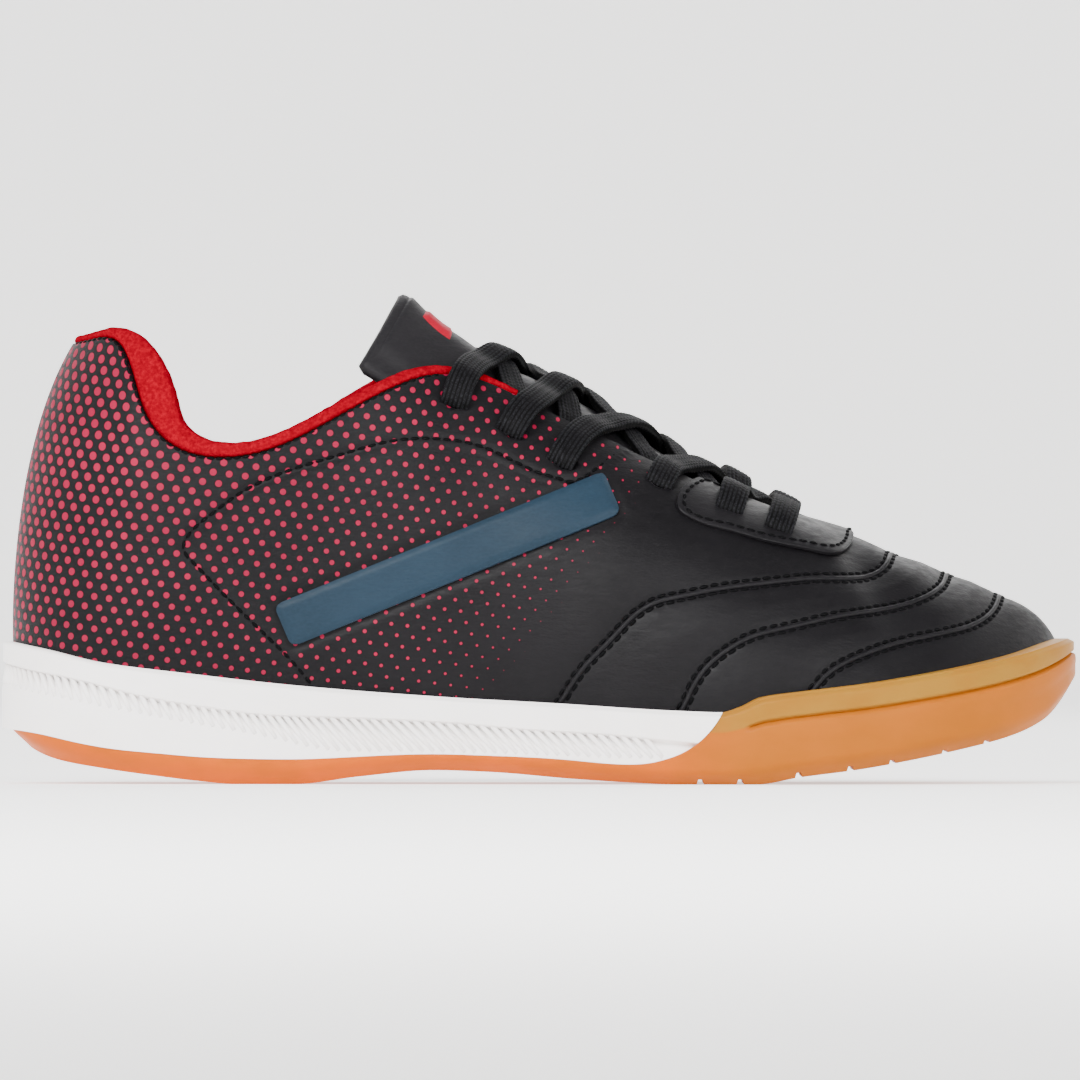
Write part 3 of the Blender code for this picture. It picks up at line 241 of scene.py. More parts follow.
class Last:
    """The form that every piece of the shoe is shaped on."""

    def __init__(self) -> None:
        """Fit the curves of the outline, the wall and the top edge."""
        station, outer, inner = SECTIONS[:, 0], SECTIONS[:, 1] * MM, SECTIONS[:, 2] * MM
        self.aside = loop_spline(station, -outer, inner)
        self.bulge, self.rise, self.reach, self.fall = (
            loop_spline(station, SECTIONS[:, c] * MM, SECTIONS[:, c] * MM) for c in (3, 4, 5, 6)
        )
        edge = TOP_EDGE[:, 0]
        half, middle, height, lift = (TOP_EDGE[:, c] * MM for c in (2, 3, 4, 5))
        along = TOP_EDGE[:, 1] * SOLE_LENGTH
        self.edge_along = loop_spline(edge, along, along)
        self.edge_aside = loop_spline(edge, middle - half, middle + half)
        self.edge_height = loop_spline(edge, height, height + lift)
        self.tread = Spline(TREAD[:, 0] * SOLE_LENGTH, TREAD[:, 1] * MM, level=True)
        self.rim = Spline(RIM[:, 0] * SOLE_LENGTH, RIM[:, 1] * MM, level=True)
        self.bed = Spline(BED[:, 0] * SOLE_LENGTH, BED[:, 1] * MM, level=True)
        widest = self.aside(np.linspace(0, LOOP, 961))
        self.centre = np.array([SOLE_LENGTH / 2, (widest.min() + widest.max()) / 2, 0.0])

    def outline(self, station: np.ndarray) -> np.ndarray:
        """The sole's outline in plan at each station."""
        station = np.asarray(station, float)
        along = SOLE_LENGTH * (1 - np.cos(math.pi * station / TIP)) / 2
        return np.stack([along, self.aside(station % LOOP), np.zeros_like(station)], axis=-1)

    def outward(self, station: np.ndarray) -> np.ndarray:
        """The outline's level normal."""
        tangent = self.outline(np.asarray(station) + 0.01) - self.outline(np.asarray(station) - 0.01)
        return unit(np.stack([tangent[..., 1], -tangent[..., 0], np.zeros_like(tangent[..., 0])], axis=-1))

    def wall(self, station: np.ndarray, up: np.ndarray) -> np.ndarray:
        """Points of the upper's outer face.

        Args:
            station: Stations round the last.
            up: Shares of the wall, 0 at the foot and 1 at the top edge.

        Returns:
            Points, one for each pair.
        """
        station, up = np.broadcast_arrays(np.asarray(station, float), np.asarray(up, float))
        place = station % LOOP
        normal = self.outward(station)
        foot = self.outline(station) - UPPER_INSET * normal
        foot[..., 2] = self.bed(foot[..., 0]) + GAP
        ridge = (place >= VAMP_STATION) & (place <= LOOP - VAMP_STATION)
        aside = self.edge_aside(np.where(ridge, np.minimum(place, LOOP - place), place))
        edge = np.stack([self.edge_along(place), aside, self.edge_height(place)], axis=-1)
        upward = np.array([0.0, 0.0, 1.0])
        above = foot + self.bulge(place)[..., None] * normal + self.rise(place)[..., None] * upward
        below = edge + self.reach(place)[..., None] * normal - self.fall(place)[..., None] * upward
        t, rest = up[..., None], 1 - up[..., None]
        return rest**3 * foot + 3 * rest**2 * t * above + 3 * rest * t * t * below + t**3 * edge

    def normal(self, station: np.ndarray, up: np.ndarray) -> np.ndarray:
        """The outer face's normals, pointing out."""
        station, up = np.broadcast_arrays(np.asarray(station, float), np.asarray(up, float))
        step = 0.02
        up = np.clip(up, step, 1 - step)
        along = self.wall(station + step, up) - self.wall(station - step, up)
        rising = self.wall(station, up + step / 2) - self.wall(station, up - step / 2)
        return unit(np.cross(along, rising))

    def shell(self, station: np.ndarray, up: np.ndarray, out: np.ndarray | float) -> np.ndarray:
        """Points at a distance out from the upper's outer face."""
        station, up = np.broadcast_arrays(np.asarray(station, float), np.asarray(up, float))
        normal = self.normal(station, up)
        place = station % LOOP
        ridge = (place > VAMP_STATION - 1e-6) & (place < LOOP - VAMP_STATION + 1e-6)
        shared = unit(normal + self.normal(LOOP - station, up))
        share = (ridge * ease(up, 0.93, 1.0))[..., None]
        normal = unit((1 - share) * normal + share * shared)
        return self.wall(station, up) + np.asarray(out)[..., None] * normal

    def seen(self, station: np.ndarray, up: np.ndarray) -> np.ndarray:
        """Where a point shows in the side view. The inner side takes the place of its outer twin."""
        place = np.asarray(station, float) % LOOP
        point = self.wall(np.minimum(place, LOOP - place), up)
        return point[..., [0, 2]]

    def unseen(self, spots: np.ndarray) -> np.ndarray:
        """The station and share of the wall of each place in the outer side's view.

        Args:
            spots: Pairs of length from the heel and height.

        Returns:
            Pairs of station and share of the wall.
        """
        spots = np.asarray(spots, float)
        guess = np.stack([np.arccos(1 - 2 * spots[:, 0] / SOLE_LENGTH) * TIP / math.pi, np.full(len(spots), 0.5)], 1)
        step = 1e-3
        for _ in range(40):
            miss = self.seen(guess[:, 0], guess[:, 1]) - spots
            by_station = self.seen(guess[:, 0] + step, guess[:, 1]) - self.seen(guess[:, 0] - step, guess[:, 1])
            by_up = self.seen(guess[:, 0], guess[:, 1] + step) - self.seen(guess[:, 0], guess[:, 1] - step)
            matrix = np.stack([by_station, by_up], axis=-1) / (2 * step)
            change = np.linalg.solve(matrix, miss[..., None])[..., 0]
            guess = guess - np.clip(change, -0.3, 0.3)
            guess[:, 1] = np.clip(guess[:, 1], 0.0, 1.0)
            guess[:, 0] = np.clip(guess[:, 0], 0.05, TIP - 0.02)
        return guess

    def rim_share(self, station: np.ndarray) -> np.ndarray:
        """How far up the wall the sole's rim reaches at each station."""
        low, high = np.zeros_like(station), np.full_like(station, 0.9)
        for _ in range(22):
            middle = (low + high) / 2
            point = self.wall(station, middle)
            under = point[..., 2] < self.rim(point[..., 0])
            low, high = np.where(under, middle, low), np.where(under, high, middle)
        return (low + high) / 2

    def stations(self, start: float, end: float, count: int) -> np.ndarray:
        """Stations evenly spaced along the outline."""
        fine = np.linspace(start, end, 1500)
        length = travelled(self.outline(fine))
        return np.interp(np.linspace(0, length[-1], count), length, fine)


LAST = Last()


class Draft:
    """Points, faces, finish numbers and pattern places of one piece, gathered before its mesh is made."""

    def __init__(self) -> None:
        """Start empty."""
        self.points: list[np.ndarray] = []
        self.places: list[np.ndarray] = []
        self.faces: list[np.ndarray] = []
        self.finish: list[np.ndarray] = []
        self.count = 0

    def add(self, points: np.ndarray, places: np.ndarray | None = None) -> np.ndarray:
        """Take in points of any grid shape.

        Args:
            points: Positions measured from the heel, the last axis x, y, z.
            places: Pattern places in millimetres, one pair for each point.

        Returns:
            The points' numbers, in the grid's shape.
        """
        shape = points.shape[:-1]
        flat = points.reshape(-1, 3)
        found = np.arange(self.count, self.count + len(flat)).reshape(shape)
        self.points.append(flat)
        self.places.append(np.zeros((len(flat), 2)) if places is None else places.reshape(-1, 2))
        self.count += len(flat)
        return found

    def skin(self, grid: np.ndarray, wrap: bool = False, flip: bool = False, finish: int = 0) -> None:
        """Cover a grid of point numbers with faces.

        Args:
            grid: Rows of point numbers.
            wrap: Whether the last column joins the first.
            flip: Whether the faces turn the other way.
            finish: The material's number.
        """
        if wrap:
            grid = np.concatenate([grid, grid[:, :1]], axis=1)
        quads = np.stack([grid[:-1, :-1], grid[:-1, 1:], grid[1:, 1:], grid[1:, :-1]], axis=-1).reshape(-1, 4)
        self.faces.append(quads[:, ::-1] if flip else quads)
        self.finish.append(np.full(len(quads), finish))

    def fan(self, ring: np.ndarray, middle: np.ndarray, upright: bool = False) -> None:
        """Close a ring of point numbers with faces that meet in a middle point."""
        spot = self.add(middle[None])
        self.skin(np.stack([ring, np.full(len(ring), spot[0])], axis=1 if upright else 0))

    def piece(self, name: str, finishes: list[bpy.types.Material], smooth: float = 40.0) -> bpy.types.Object:
        """Make the object, at the row's origin.

        Args:
            name: The piece's name.
            finishes: The materials, in the order of their numbers.
            smooth: The angle in degrees past which an edge stays sharp.

        Returns:
            The linked object.
        """
        points = np.concatenate(self.points) - LAST.centre
        faces = np.concatenate(self.faces)
        mesh = bpy.data.meshes.new(name)
        mesh.from_pydata(points.tolist(), [], [tuple(dict.fromkeys(face)) for face in faces.tolist()])
        for material in finishes:
            mesh.materials.append(material)
        mesh.polygons.foreach_set("material_index", np.concatenate(self.finish).astype(np.int32))
        corner = np.empty(len(mesh.loops), np.int32)
        mesh.loops.foreach_get("vertex_index", corner)
        pattern = mesh.uv_layers.new(name="pattern")
        pattern.data.foreach_set("uv", np.concatenate(self.places)[corner].astype(np.float32).ravel())
        close_up(mesh)
        return link(name, mesh, smooth)


def close_up(mesh: bpy.types.Mesh) -> None:
    """Merge points that meet, and turn every face outwards."""
    tidy = bmesh.new()
    tidy.from_mesh(mesh)
    bmesh.ops.remove_doubles(tidy, verts=tidy.verts, dist=2e-6)
    bmesh.ops.dissolve_degenerate(tidy, edges=tidy.edges, dist=1e-7)
    bmesh.ops.recalc_face_normals(tidy, faces=tidy.faces)
    tidy.to_mesh(mesh)
    tidy.free()


def link(name: str, mesh: bpy.types.Mesh, smooth: float = 40.0) -> bpy.types.Object:
    """Shade a mesh smooth below an angle and put it in the scene."""
    mesh.shade_smooth()
    mesh.set_sharp_from_angle(angle=math.radians(smooth))
    made = bpy.data.objects.new(name, mesh)
    bpy.context.scene.collection.objects.link(made)
    return made


def settle(made: bpy.types.Object) -> bpy.types.Object:
    """Apply a piece's modifiers, and leave it with a plain mesh."""
    bpy.context.view_layer.update()
    graph = bpy.context.evaluated_depsgraph_get()
    mesh = bpy.data.meshes.new_from_object(made.evaluated_get(graph))
    made.modifiers.clear()
    made.data = mesh
    return made


def mount(made: bpy.types.Object, slot: str, *nodes: str) -> bpy.types.Object:
    """Tie a finished piece to the shoe's body and hide the CAD nodes that it stands for."""
    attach(made, "root")
    if nodes:
        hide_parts(*nodes)
    triangles = sum(len(face.vertices) - 2 for face in made.data.polygons)
    LOG.info("%s: %d triangles", made.name, triangles)
    return made


def on_side(stations: np.ndarray, inner: bool) -> np.ndarray:
    """The same stations on the outer side, or on the inner one."""
    return LOOP - stations if inner else stations


def smooth_line(points: np.ndarray, count: int) -> np.ndarray:
    """A smooth curve through a few points, evenly spaced by length."""
    points = np.asarray(points, float)
    length = travelled(points)
    axes = [Spline(length, points[:, axis]) for axis in range(points.shape[1])]
    return np.stack([axis(np.linspace(0, length[-1], count)) for axis in axes], axis=-1)


def both_sides(stations: np.ndarray) -> np.ndarray:
    """The stations of the outer side, and the same ones back along the inner side."""
    inner = stations[(stations > 0) & (stations < TIP)]
    return np.concatenate([stations, LOOP - inner[::-1]])


def linear(code: str) -> tuple[float, float, float, float]:
    """An sRGB hex colour as linear values with full alpha."""
    parts = [int(code[i:i + 2], 16) / 255 for i in (1, 3, 5)]
    parts = [c / 12.92 if c <= 0.04045 else ((c + 0.055) / 1.055) ** 2.4 for c in parts]
    return (parts[0], parts[1], parts[2], 1.0)


def add(tree: bpy.types.NodeTree, kind: str, feeds: dict | None = None, **settings: object) -> bpy.types.Node:
    """Add a node with its settings and links.

    Args:
        tree: The node tree.
        kind: The node's type.
        feeds: For each input, by name or number, a value or the output that feeds it.
        settings: The node's own properties.

    Returns:
        The node.
    """
    made = tree.nodes.new(kind)
    for name, value in settings.items():
        setattr(made, name, value)
    for place, value in (feeds or {}).items():
        if isinstance(value, bpy.types.NodeSocket):
            tree.links.new(value, made.inputs[place])
        else:
            made.inputs[place].default_value = value
    return made


def sums(tree: bpy.types.NodeTree, operation: str, *values: object, clamp: bool = False) -> bpy.types.NodeSocket:
    """The result of a Math node fed with numbers or outputs."""
    feeds = dict(enumerate(values))
    return add(tree, "ShaderNodeMath", feeds, operation=operation, use_clamp=clamp).outputs[0]


def spread(tree: bpy.types.NodeTree, value: bpy.types.NodeSocket, low: float, high: float,
           start: float = 0.0, end: float = 1.0) -> bpy.types.NodeSocket:
    """A smooth change from start to end as the value goes from low to high."""
    feeds = {"Value": value, "From Min": low, "From Max": high, "To Min": start, "To Max": end}
    return add(tree, "ShaderNodeMapRange", feeds, interpolation_type="SMOOTHSTEP").outputs[0]


def blend(tree: bpy.types.NodeTree, share: object, first: object, second: object,
          kind: str = "MIX") -> bpy.types.NodeSocket:
    """Two colours mixed by a share."""
    made = add(tree, "ShaderNodeMix", {0: share, 6: first, 7: second}, data_type="RGBA", blend_type=kind)
    return made.outputs[2]


def begin(name: str, **settings: object) -> tuple[bpy.types.Material, bpy.types.NodeTree, bpy.types.Node]:
    """Start a material whose shader has the given uniform values.

    Args:
        name: The material's name.
        settings: Shader inputs, with _ for a space.

    Returns:
        The material, its tree and its shader.
    """
    made = bpy.data.materials.new(name)
    made.use_nodes = True
    shader = made.node_tree.nodes["Principled BSDF"]
    for key, value in settings.items():
        shader.inputs[key.replace("_", " ")].default_value = value
    return made, made.node_tree, shader


def object_place(tree: bpy.types.NodeTree, per_mm: tuple[float, float, float]) -> bpy.types.NodeSocket:
    """Object coordinates, scaled so that one unit is one over per_mm millimetres."""
    place = add(tree, "ShaderNodeTexCoord").outputs["Object"]
    scale = tuple(1000.0 * c for c in per_mm)
    return add(tree, "ShaderNodeMapping", {"Vector": place, "Scale": scale}).outputs[0]


def relief(tree: bpy.types.NodeTree, height: bpy.types.NodeSocket, depth: float,
           under: bpy.types.NodeSocket | None = None) -> bpy.types.NodeSocket:
    """A normal raised by a height of the given depth in metres."""
    feeds = {"Height": height, "Distance": depth, "Strength": 1.0}
    if under is not None:
        feeds["Normal"] = under
    return add(tree, "ShaderNodeBump", feeds).outputs[0]


def clouds(tree: bpy.types.NodeTree, per_mm: tuple[float, float, float], detail: float,
           roughness: float = 0.5) -> bpy.types.NodeSocket:
    """Noise whose blots are one over per_mm millimetres wide."""
    feeds = {"Vector": object_place(tree, per_mm), "Scale": 1.0, "Detail": detail, "Roughness": roughness}
    return add(tree, "ShaderNodeTexNoise", feeds).outputs["Fac"]


def cells(tree: bpy.types.NodeTree, per_mm: tuple[float, float, float]) -> bpy.types.NodeSocket:
    """Soft round cells, one over per_mm millimetres wide."""
    feeds = {"Vector": object_place(tree, per_mm), "Scale": 1.0}
    return add(tree, "ShaderNodeTexVoronoi", feeds, feature="SMOOTH_F1").outputs["Distance"]


def pattern_parts(tree: bpy.types.NodeTree) -> bpy.types.NodeOutputs:
    """The two numbers of the piece's own pattern map."""
    place = add(tree, "ShaderNodeUVMap", uv_map="pattern").outputs[0]
    return add(tree, "ShaderNodeSeparateXYZ", {0: place}).outputs


def sink(shader: bpy.types.Node, weight: float, radius: tuple[float, float, float]) -> None:
    """Let light sink into a surface, by a radius in metres for red, green and blue."""
    shader.inputs["Subsurface Weight"].default_value = weight
    shader.inputs["Subsurface Radius"].default_value = radius
    shader.inputs["Subsurface Scale"].default_value = 1.0


@dataclass(frozen=True)
class Leather:
    """Coated split leather, roller grained: a close pebble with short creases, and a soft satin shine."""

    name: str
    colour: str
    pale_tone_and_sheen: str
    roughness: float = 0.44
    gloss: float = 0.09
    grain: float = 0.55
    depth: float = 0.030 * MM
    dots: bool = False

    def material(self) -> bpy.types.Material:
        """Make the material."""
        # Polyurethane coat: the grain gives a broken highlight, and the creases run level, as off the roller. The
        # paler second colour gives large random clouds of tone and a painted highlight on the grain's raised ridges.
        made, tree, shader = begin(self.name, IOR=1.5, Specular_IOR_Level=self.gloss)
        pebble = cells(tree, (0.72 / self.grain, 1 / self.grain, 1.25 / self.grain))
        crease = clouds(tree, (0.22, 0.34, 0.95), 4.0, 0.62)
        cloud = clouds(tree, (0.05, 0.05, 0.05), 2.0)
        fine = relief(tree, pebble, self.depth)
        tree.links.new(relief(tree, crease, 2.4 * self.depth, fine), shader.inputs["Normal"])
        tone = blend(tree, spread(tree, cloud, 0.3, 0.7, 0.0, 0.5), linear(self.colour), linear(self.pale_tone_and_sheen))
        # Painted highlight: the grain's raised ridges take the paler second colour.
        tone = blend(tree, spread(tree, pebble, 0.15, 0.75, 0.0, 0.35), tone, linear(self.pale_tone_and_sheen))
        shine = spread(tree, crease, 0.3, 0.7, self.roughness - 0.05, self.roughness + 0.09)
        if self.dots:
            cover = DotPrint().cover(tree)
            ink = blend(tree, spread(tree, cloud, 0.25, 0.75), linear("#76092a"), linear("#880e31"))
            tone = blend(tree, cover, tone, ink)
            shine = sums(tree, "ADD", shine, sums(tree, "MULTIPLY", cover, 0.05))
        tree.links.new(tone, shader.inputs["Base Color"])
        tree.links.new(shine, shader.inputs["Roughness"])
        return made


@dataclass(frozen=True)
class DotPrint:
    """A screen of round dots that shrink away from the heel. Lengths are in millimetres of the pattern map."""

    first: tuple[float, float] = (1.170, -2.440)
    second: tuple[float, float] = (2.260, 2.006)
    origin: tuple[float, float] = (60.425, 48.604)
    edge: float = 0.07
    radius: float = 0.625
    largest: float = 0.92
    change: tuple[float, float] = (-0.0047, 0.0050)
    fade: tuple[float, float] = (92.0, 126.0)
    lean: float = -0.7
    shift: float = 17.5

    def cover(self, tree: bpy.types.NodeTree) -> bpy.types.NodeSocket:
        """How much of each place the ink covers.

        Args:
            tree: The material's tree.

        Returns:
            1 inside a dot and 0 outside.
        """
        (ax, ay), (bx, by) = self.first, self.second
        size = ax * by - bx * ay
        place = add(tree, "ShaderNodeUVMap", uv_map="pattern").outputs[0]
        moved = add(tree, "ShaderNodeVectorMath", {0: place, 1: (*self.origin, 0.0)}, operation="SUBTRACT").outputs[0]
        shifts = []
        for row in ((by / size, -bx / size, 0.0), (-ay / size, ax / size, 0.0)):
            count = add(tree, "ShaderNodeVectorMath", {0: moved, 1: row}, operation="DOT_PRODUCT").outputs["Value"]
            shifts.append(sums(tree, "SUBTRACT", count, sums(tree, "ROUND", count)))
        along = sums(tree, "ADD", sums(tree, "MULTIPLY", shifts[0], ax), sums(tree, "MULTIPLY", shifts[1], bx))
        rising = sums(tree, "ADD", sums(tree, "MULTIPLY", shifts[0], ay), sums(tree, "MULTIPLY", shifts[1], by))
        off = add(tree, "ShaderNodeCombineXYZ", {"X": along, "Y": rising}).outputs[0]
        reach = add(tree, "ShaderNodeVectorMath", {0: off}, operation="LENGTH").outputs["Value"]
        centre = add(tree, "ShaderNodeVectorMath", {0: place, 1: off}, operation="SUBTRACT").outputs[0]
        parts = add(tree, "ShaderNodeSeparateXYZ", {0: centre}).outputs
        radius = sums(tree, "MULTIPLY_ADD", parts["X"], self.change[0], self.radius)
        radius = sums(tree, "MULTIPLY_ADD", parts["Y"], self.change[1], radius)
        ahead = sums(tree, "MULTIPLY_ADD", parts["Y"], self.lean, sums(tree, "ADD", parts["X"], self.shift))
        radius = sums(tree, "MULTIPLY", radius, spread(tree, ahead, *self.fade, 1.0, 0.0))
        radius = sums(tree, "MINIMUM", radius, self.largest)
        inside = sums(tree, "SUBTRACT", radius, reach)
        ink = spread(tree, inside, -self.edge, self.edge)
        return sums(tree, "MULTIPLY", ink, spread(tree, radius, 0.10, 0.18))


@dataclass(frozen=True)
class Knit:
    """Brushed polyester knit: looped and fuzzy, with no clear highlight."""

    name: str
    colour: str
    light: str
    loop: float = 0.9

    def material(self) -> bpy.types.Material:
        """Make the material."""
        # The loops are painted as paler flecks on their raised tops, a painted highlight over the deep red ground, and
        # the fuzz's low places take a painted shade; the fuzz's bump gives a soft edge.
        made, tree, shader = begin(self.name, Sheen_Weight=0.005, Sheen_Roughness=0.4, Specular_IOR_Level=0.0)
        shader.inputs["Sheen Tint"].default_value = linear(self.light)
        shader.inputs["Roughness"].default_value = 0.92
        loops = cells(tree, (1 / self.loop,) * 3)
        fuzz = clouds(tree, (1.6, 1.6, 1.6), 5.0, 0.7)
        first = relief(tree, loops, -0.16 * MM)
        tree.links.new(relief(tree, fuzz, 0.22 * MM, first), shader.inputs["Normal"])
        # Painted highlight: the loops' raised tops take the paler colour.
        tone = blend(tree, spread(tree, loops, 0.1, 0.7, 0.0, 1.0), linear(self.light), linear(self.colour))
        # Painted shade: the low places of the fuzz are darkened towards deep red-brown.
        tone = blend(tree, spread(tree, fuzz, 0.35, 0.65, 0.45, 0.0), tone, linear("#4a0109"))
        tree.links.new(tone, shader.inputs["Base Color"])
        return made


@dataclass(frozen=True)
class Woven:
    """Plain polyester cloth of fine round threads, matt."""

    name: str
    colour: str
    light: str
    thread: float = 0.6

    def material(self) -> bpy.types.Material:
        """Make the material."""
        # Thread spacing drawn near 0.6 mm, a little coarser than real, so that the weave shows.
        made, tree, shader = begin(self.name, Roughness=0.88, Specular_IOR_Level=0.12, Sheen_Weight=0.05)
        place = object_place(tree, (1 / self.thread,) * 3)
        parts = add(tree, "ShaderNodeSeparateXYZ", {0: place}).outputs
        waves = [sums(tree, "SINE", sums(tree, "MULTIPLY", parts[axis], math.pi)) for axis in ("X", "Y")]
        weave = sums(tree, "ABSOLUTE", sums(tree, "MULTIPLY", *waves))
        tree.links.new(relief(tree, weave, 0.12 * MM), shader.inputs["Normal"])
        # Painted highlight and shade: the raised thread crossings take the paler colour, the dips between them the
        # darker one.
        tree.links.new(blend(tree, weave, linear(self.colour), linear(self.light)), shader.inputs["Base Color"])
        return made


@dataclass(frozen=True)
class Foam:
    """Injection-moulded EVA foam: white, matt, with a very fine skin."""

    name: str = "midsole_eva"
    colour: str = "#faf6f4"
    shade: str = "#f0ebe8"

    def material(self) -> bpy.types.Material:
        """Make the material."""
        # The skin is even, with faint pores, and light goes a little way in, so that shadows stay pale.
        made, tree, shader = begin(self.name, Roughness=0.58, IOR=1.48, Specular_IOR_Level=0.3)
        sink(shader, 0.12, (0.8 * MM, 0.7 * MM, 0.6 * MM))
        pores = clouds(tree, (1.1, 1.1, 1.1), 4.0, 0.6)
        cloud = clouds(tree, (0.04, 0.04, 0.08), 3.0)
        tree.links.new(relief(tree, pores, 0.02 * MM), shader.inputs["Normal"])
        tone = blend(tree, spread(tree, cloud, 0.35, 0.75, 0.0, 0.6), linear(self.colour), linear(self.shade))
        tree.links.new(tone, shader.inputs["Base Color"])
        return made


@dataclass(frozen=True)
class Gum:
    """Natural gum rubber, moulded and slightly see-through: amber, with a paler band over the toe's groove."""

    name: str = "gum_rubber"
    low: str = "#9c5612"
    rear: str = "#b85206"
    band: str = "#8c6422"

    def material(self) -> bpy.types.Material:
        """Make the material."""
        # Satin skin off a polished mould. Light sinks in a millimetre or two, so edges glow.
        made, tree, shader = begin(self.name, IOR=1.52, Specular_IOR_Level=0.05)
        sink(shader, 0.25, (1.6 * MM, 0.8 * MM, 0.3 * MM))
        parts = pattern_parts(tree)
        toe = spread(tree, parts["X"], 128.0, 165.0)
        over = spread(tree, parts["Y"], 0.26, 0.30, 1.0, 0.0)
        cloud = clouds(tree, (0.07, 0.07, 0.12), 4.0, 0.55)
        skin = clouds(tree, (1.4, 1.4, 1.4), 3.0)
        tone = blend(tree, toe, linear(self.rear), linear(self.low))
        tone = blend(tree, sums(tree, "MULTIPLY", toe, over), tone, linear(self.band))
        tone = blend(tree, spread(tree, cloud, 0.35, 0.7, 0.0, 0.35), tone, linear("#844a08"))
        tree.links.new(tone, shader.inputs["Base Color"])
        tree.links.new(spread(tree, cloud, 0.3, 0.7, 0.34, 0.46), shader.inputs["Roughness"])
        tree.links.new(relief(tree, skin, 0.015 * MM), shader.inputs["Normal"])
        return made


@dataclass(frozen=True)
class Thread:
    """Bonded polyester or braided cotton thread: black, twisted, with a dull shine along it."""

    name: str
    colour: str
    light: str
    roughness: float = 0.62
    ridged: bool = False
    ridge: float = 0.914

    def material(self) -> bpy.types.Material:
        """Make the material."""
        # Each filament catches a thin streak of light, and the valleys between them stay black.
        made, tree, shader = begin(self.name, Specular_IOR_Level=0.05, Sheen_Weight=0.02, Sheen_Roughness=0.5)
        shader.inputs["Sheen Tint"].default_value = linear("#5a5a60")
        fibres = clouds(tree, (3.2, 3.2, 3.2), 4.0, 0.6)
        tree.links.new(relief(tree, fibres, 0.04 * MM), shader.inputs["Normal"])
        # Painted highlight: the raised fibres take the paler colour.
        tone = blend(tree, spread(tree, fibres, 0.4, 0.7), linear(self.colour), linear(self.light))
        if self.ridged:
            # The map holds millimetres across and along the lace: each ridge of the plait gets a painted highlight,
            # and its valleys a near-black painted shade.
            lane = sums(tree, "MULTIPLY", pattern_parts(tree)["X"], math.pi / self.ridge)
            crest = sums(tree, "POWER", sums(tree, "ABSOLUTE", sums(tree, "COSINE", lane)), 0.7)
            tone = blend(tree, spread(tree, crest, 0.35, 0.9), linear("#020202"), tone)
        tree.links.new(tone, shader.inputs["Base Color"])
        shine = spread(tree, fibres, 0.3, 0.7, self.roughness - 0.08, self.roughness + 0.12)
        tree.links.new(shine, shader.inputs["Roughness"])
        return made


@dataclass(frozen=True)
class MattPaint:
    """Matt studio paint: even and pale."""

    name: str = "studio_paint"
    colour: str = "#f7f6f5"
    glow: float = 0.9

    def material(self) -> bpy.types.Material:
        """Make the material."""
        # Lit through from behind as on a light table, with a faint roller texture.
        made, tree, shader = begin(self.name, Roughness=0.92, Specular_IOR_Level=0.1, Emission_Strength=self.glow)
        shader.inputs["Emission Color"].default_value = linear("#ffffff")
        roller = clouds(tree, (0.2, 0.2, 0.2), 3.0)
        tree.links.new(relief(tree, roller, 0.01 * MM), shader.inputs["Normal"])
        tone = blend(tree, spread(tree, roller, 0.3, 0.7, 0.0, 0.1), linear(self.colour), linear("#eceae8"))
        tree.links.new(tone, shader.inputs["Base Color"])
        return made


class Shape(Enum):
    """What a row of repeats is made of."""

    GRAIN = "grain"
    BAR = "bar"


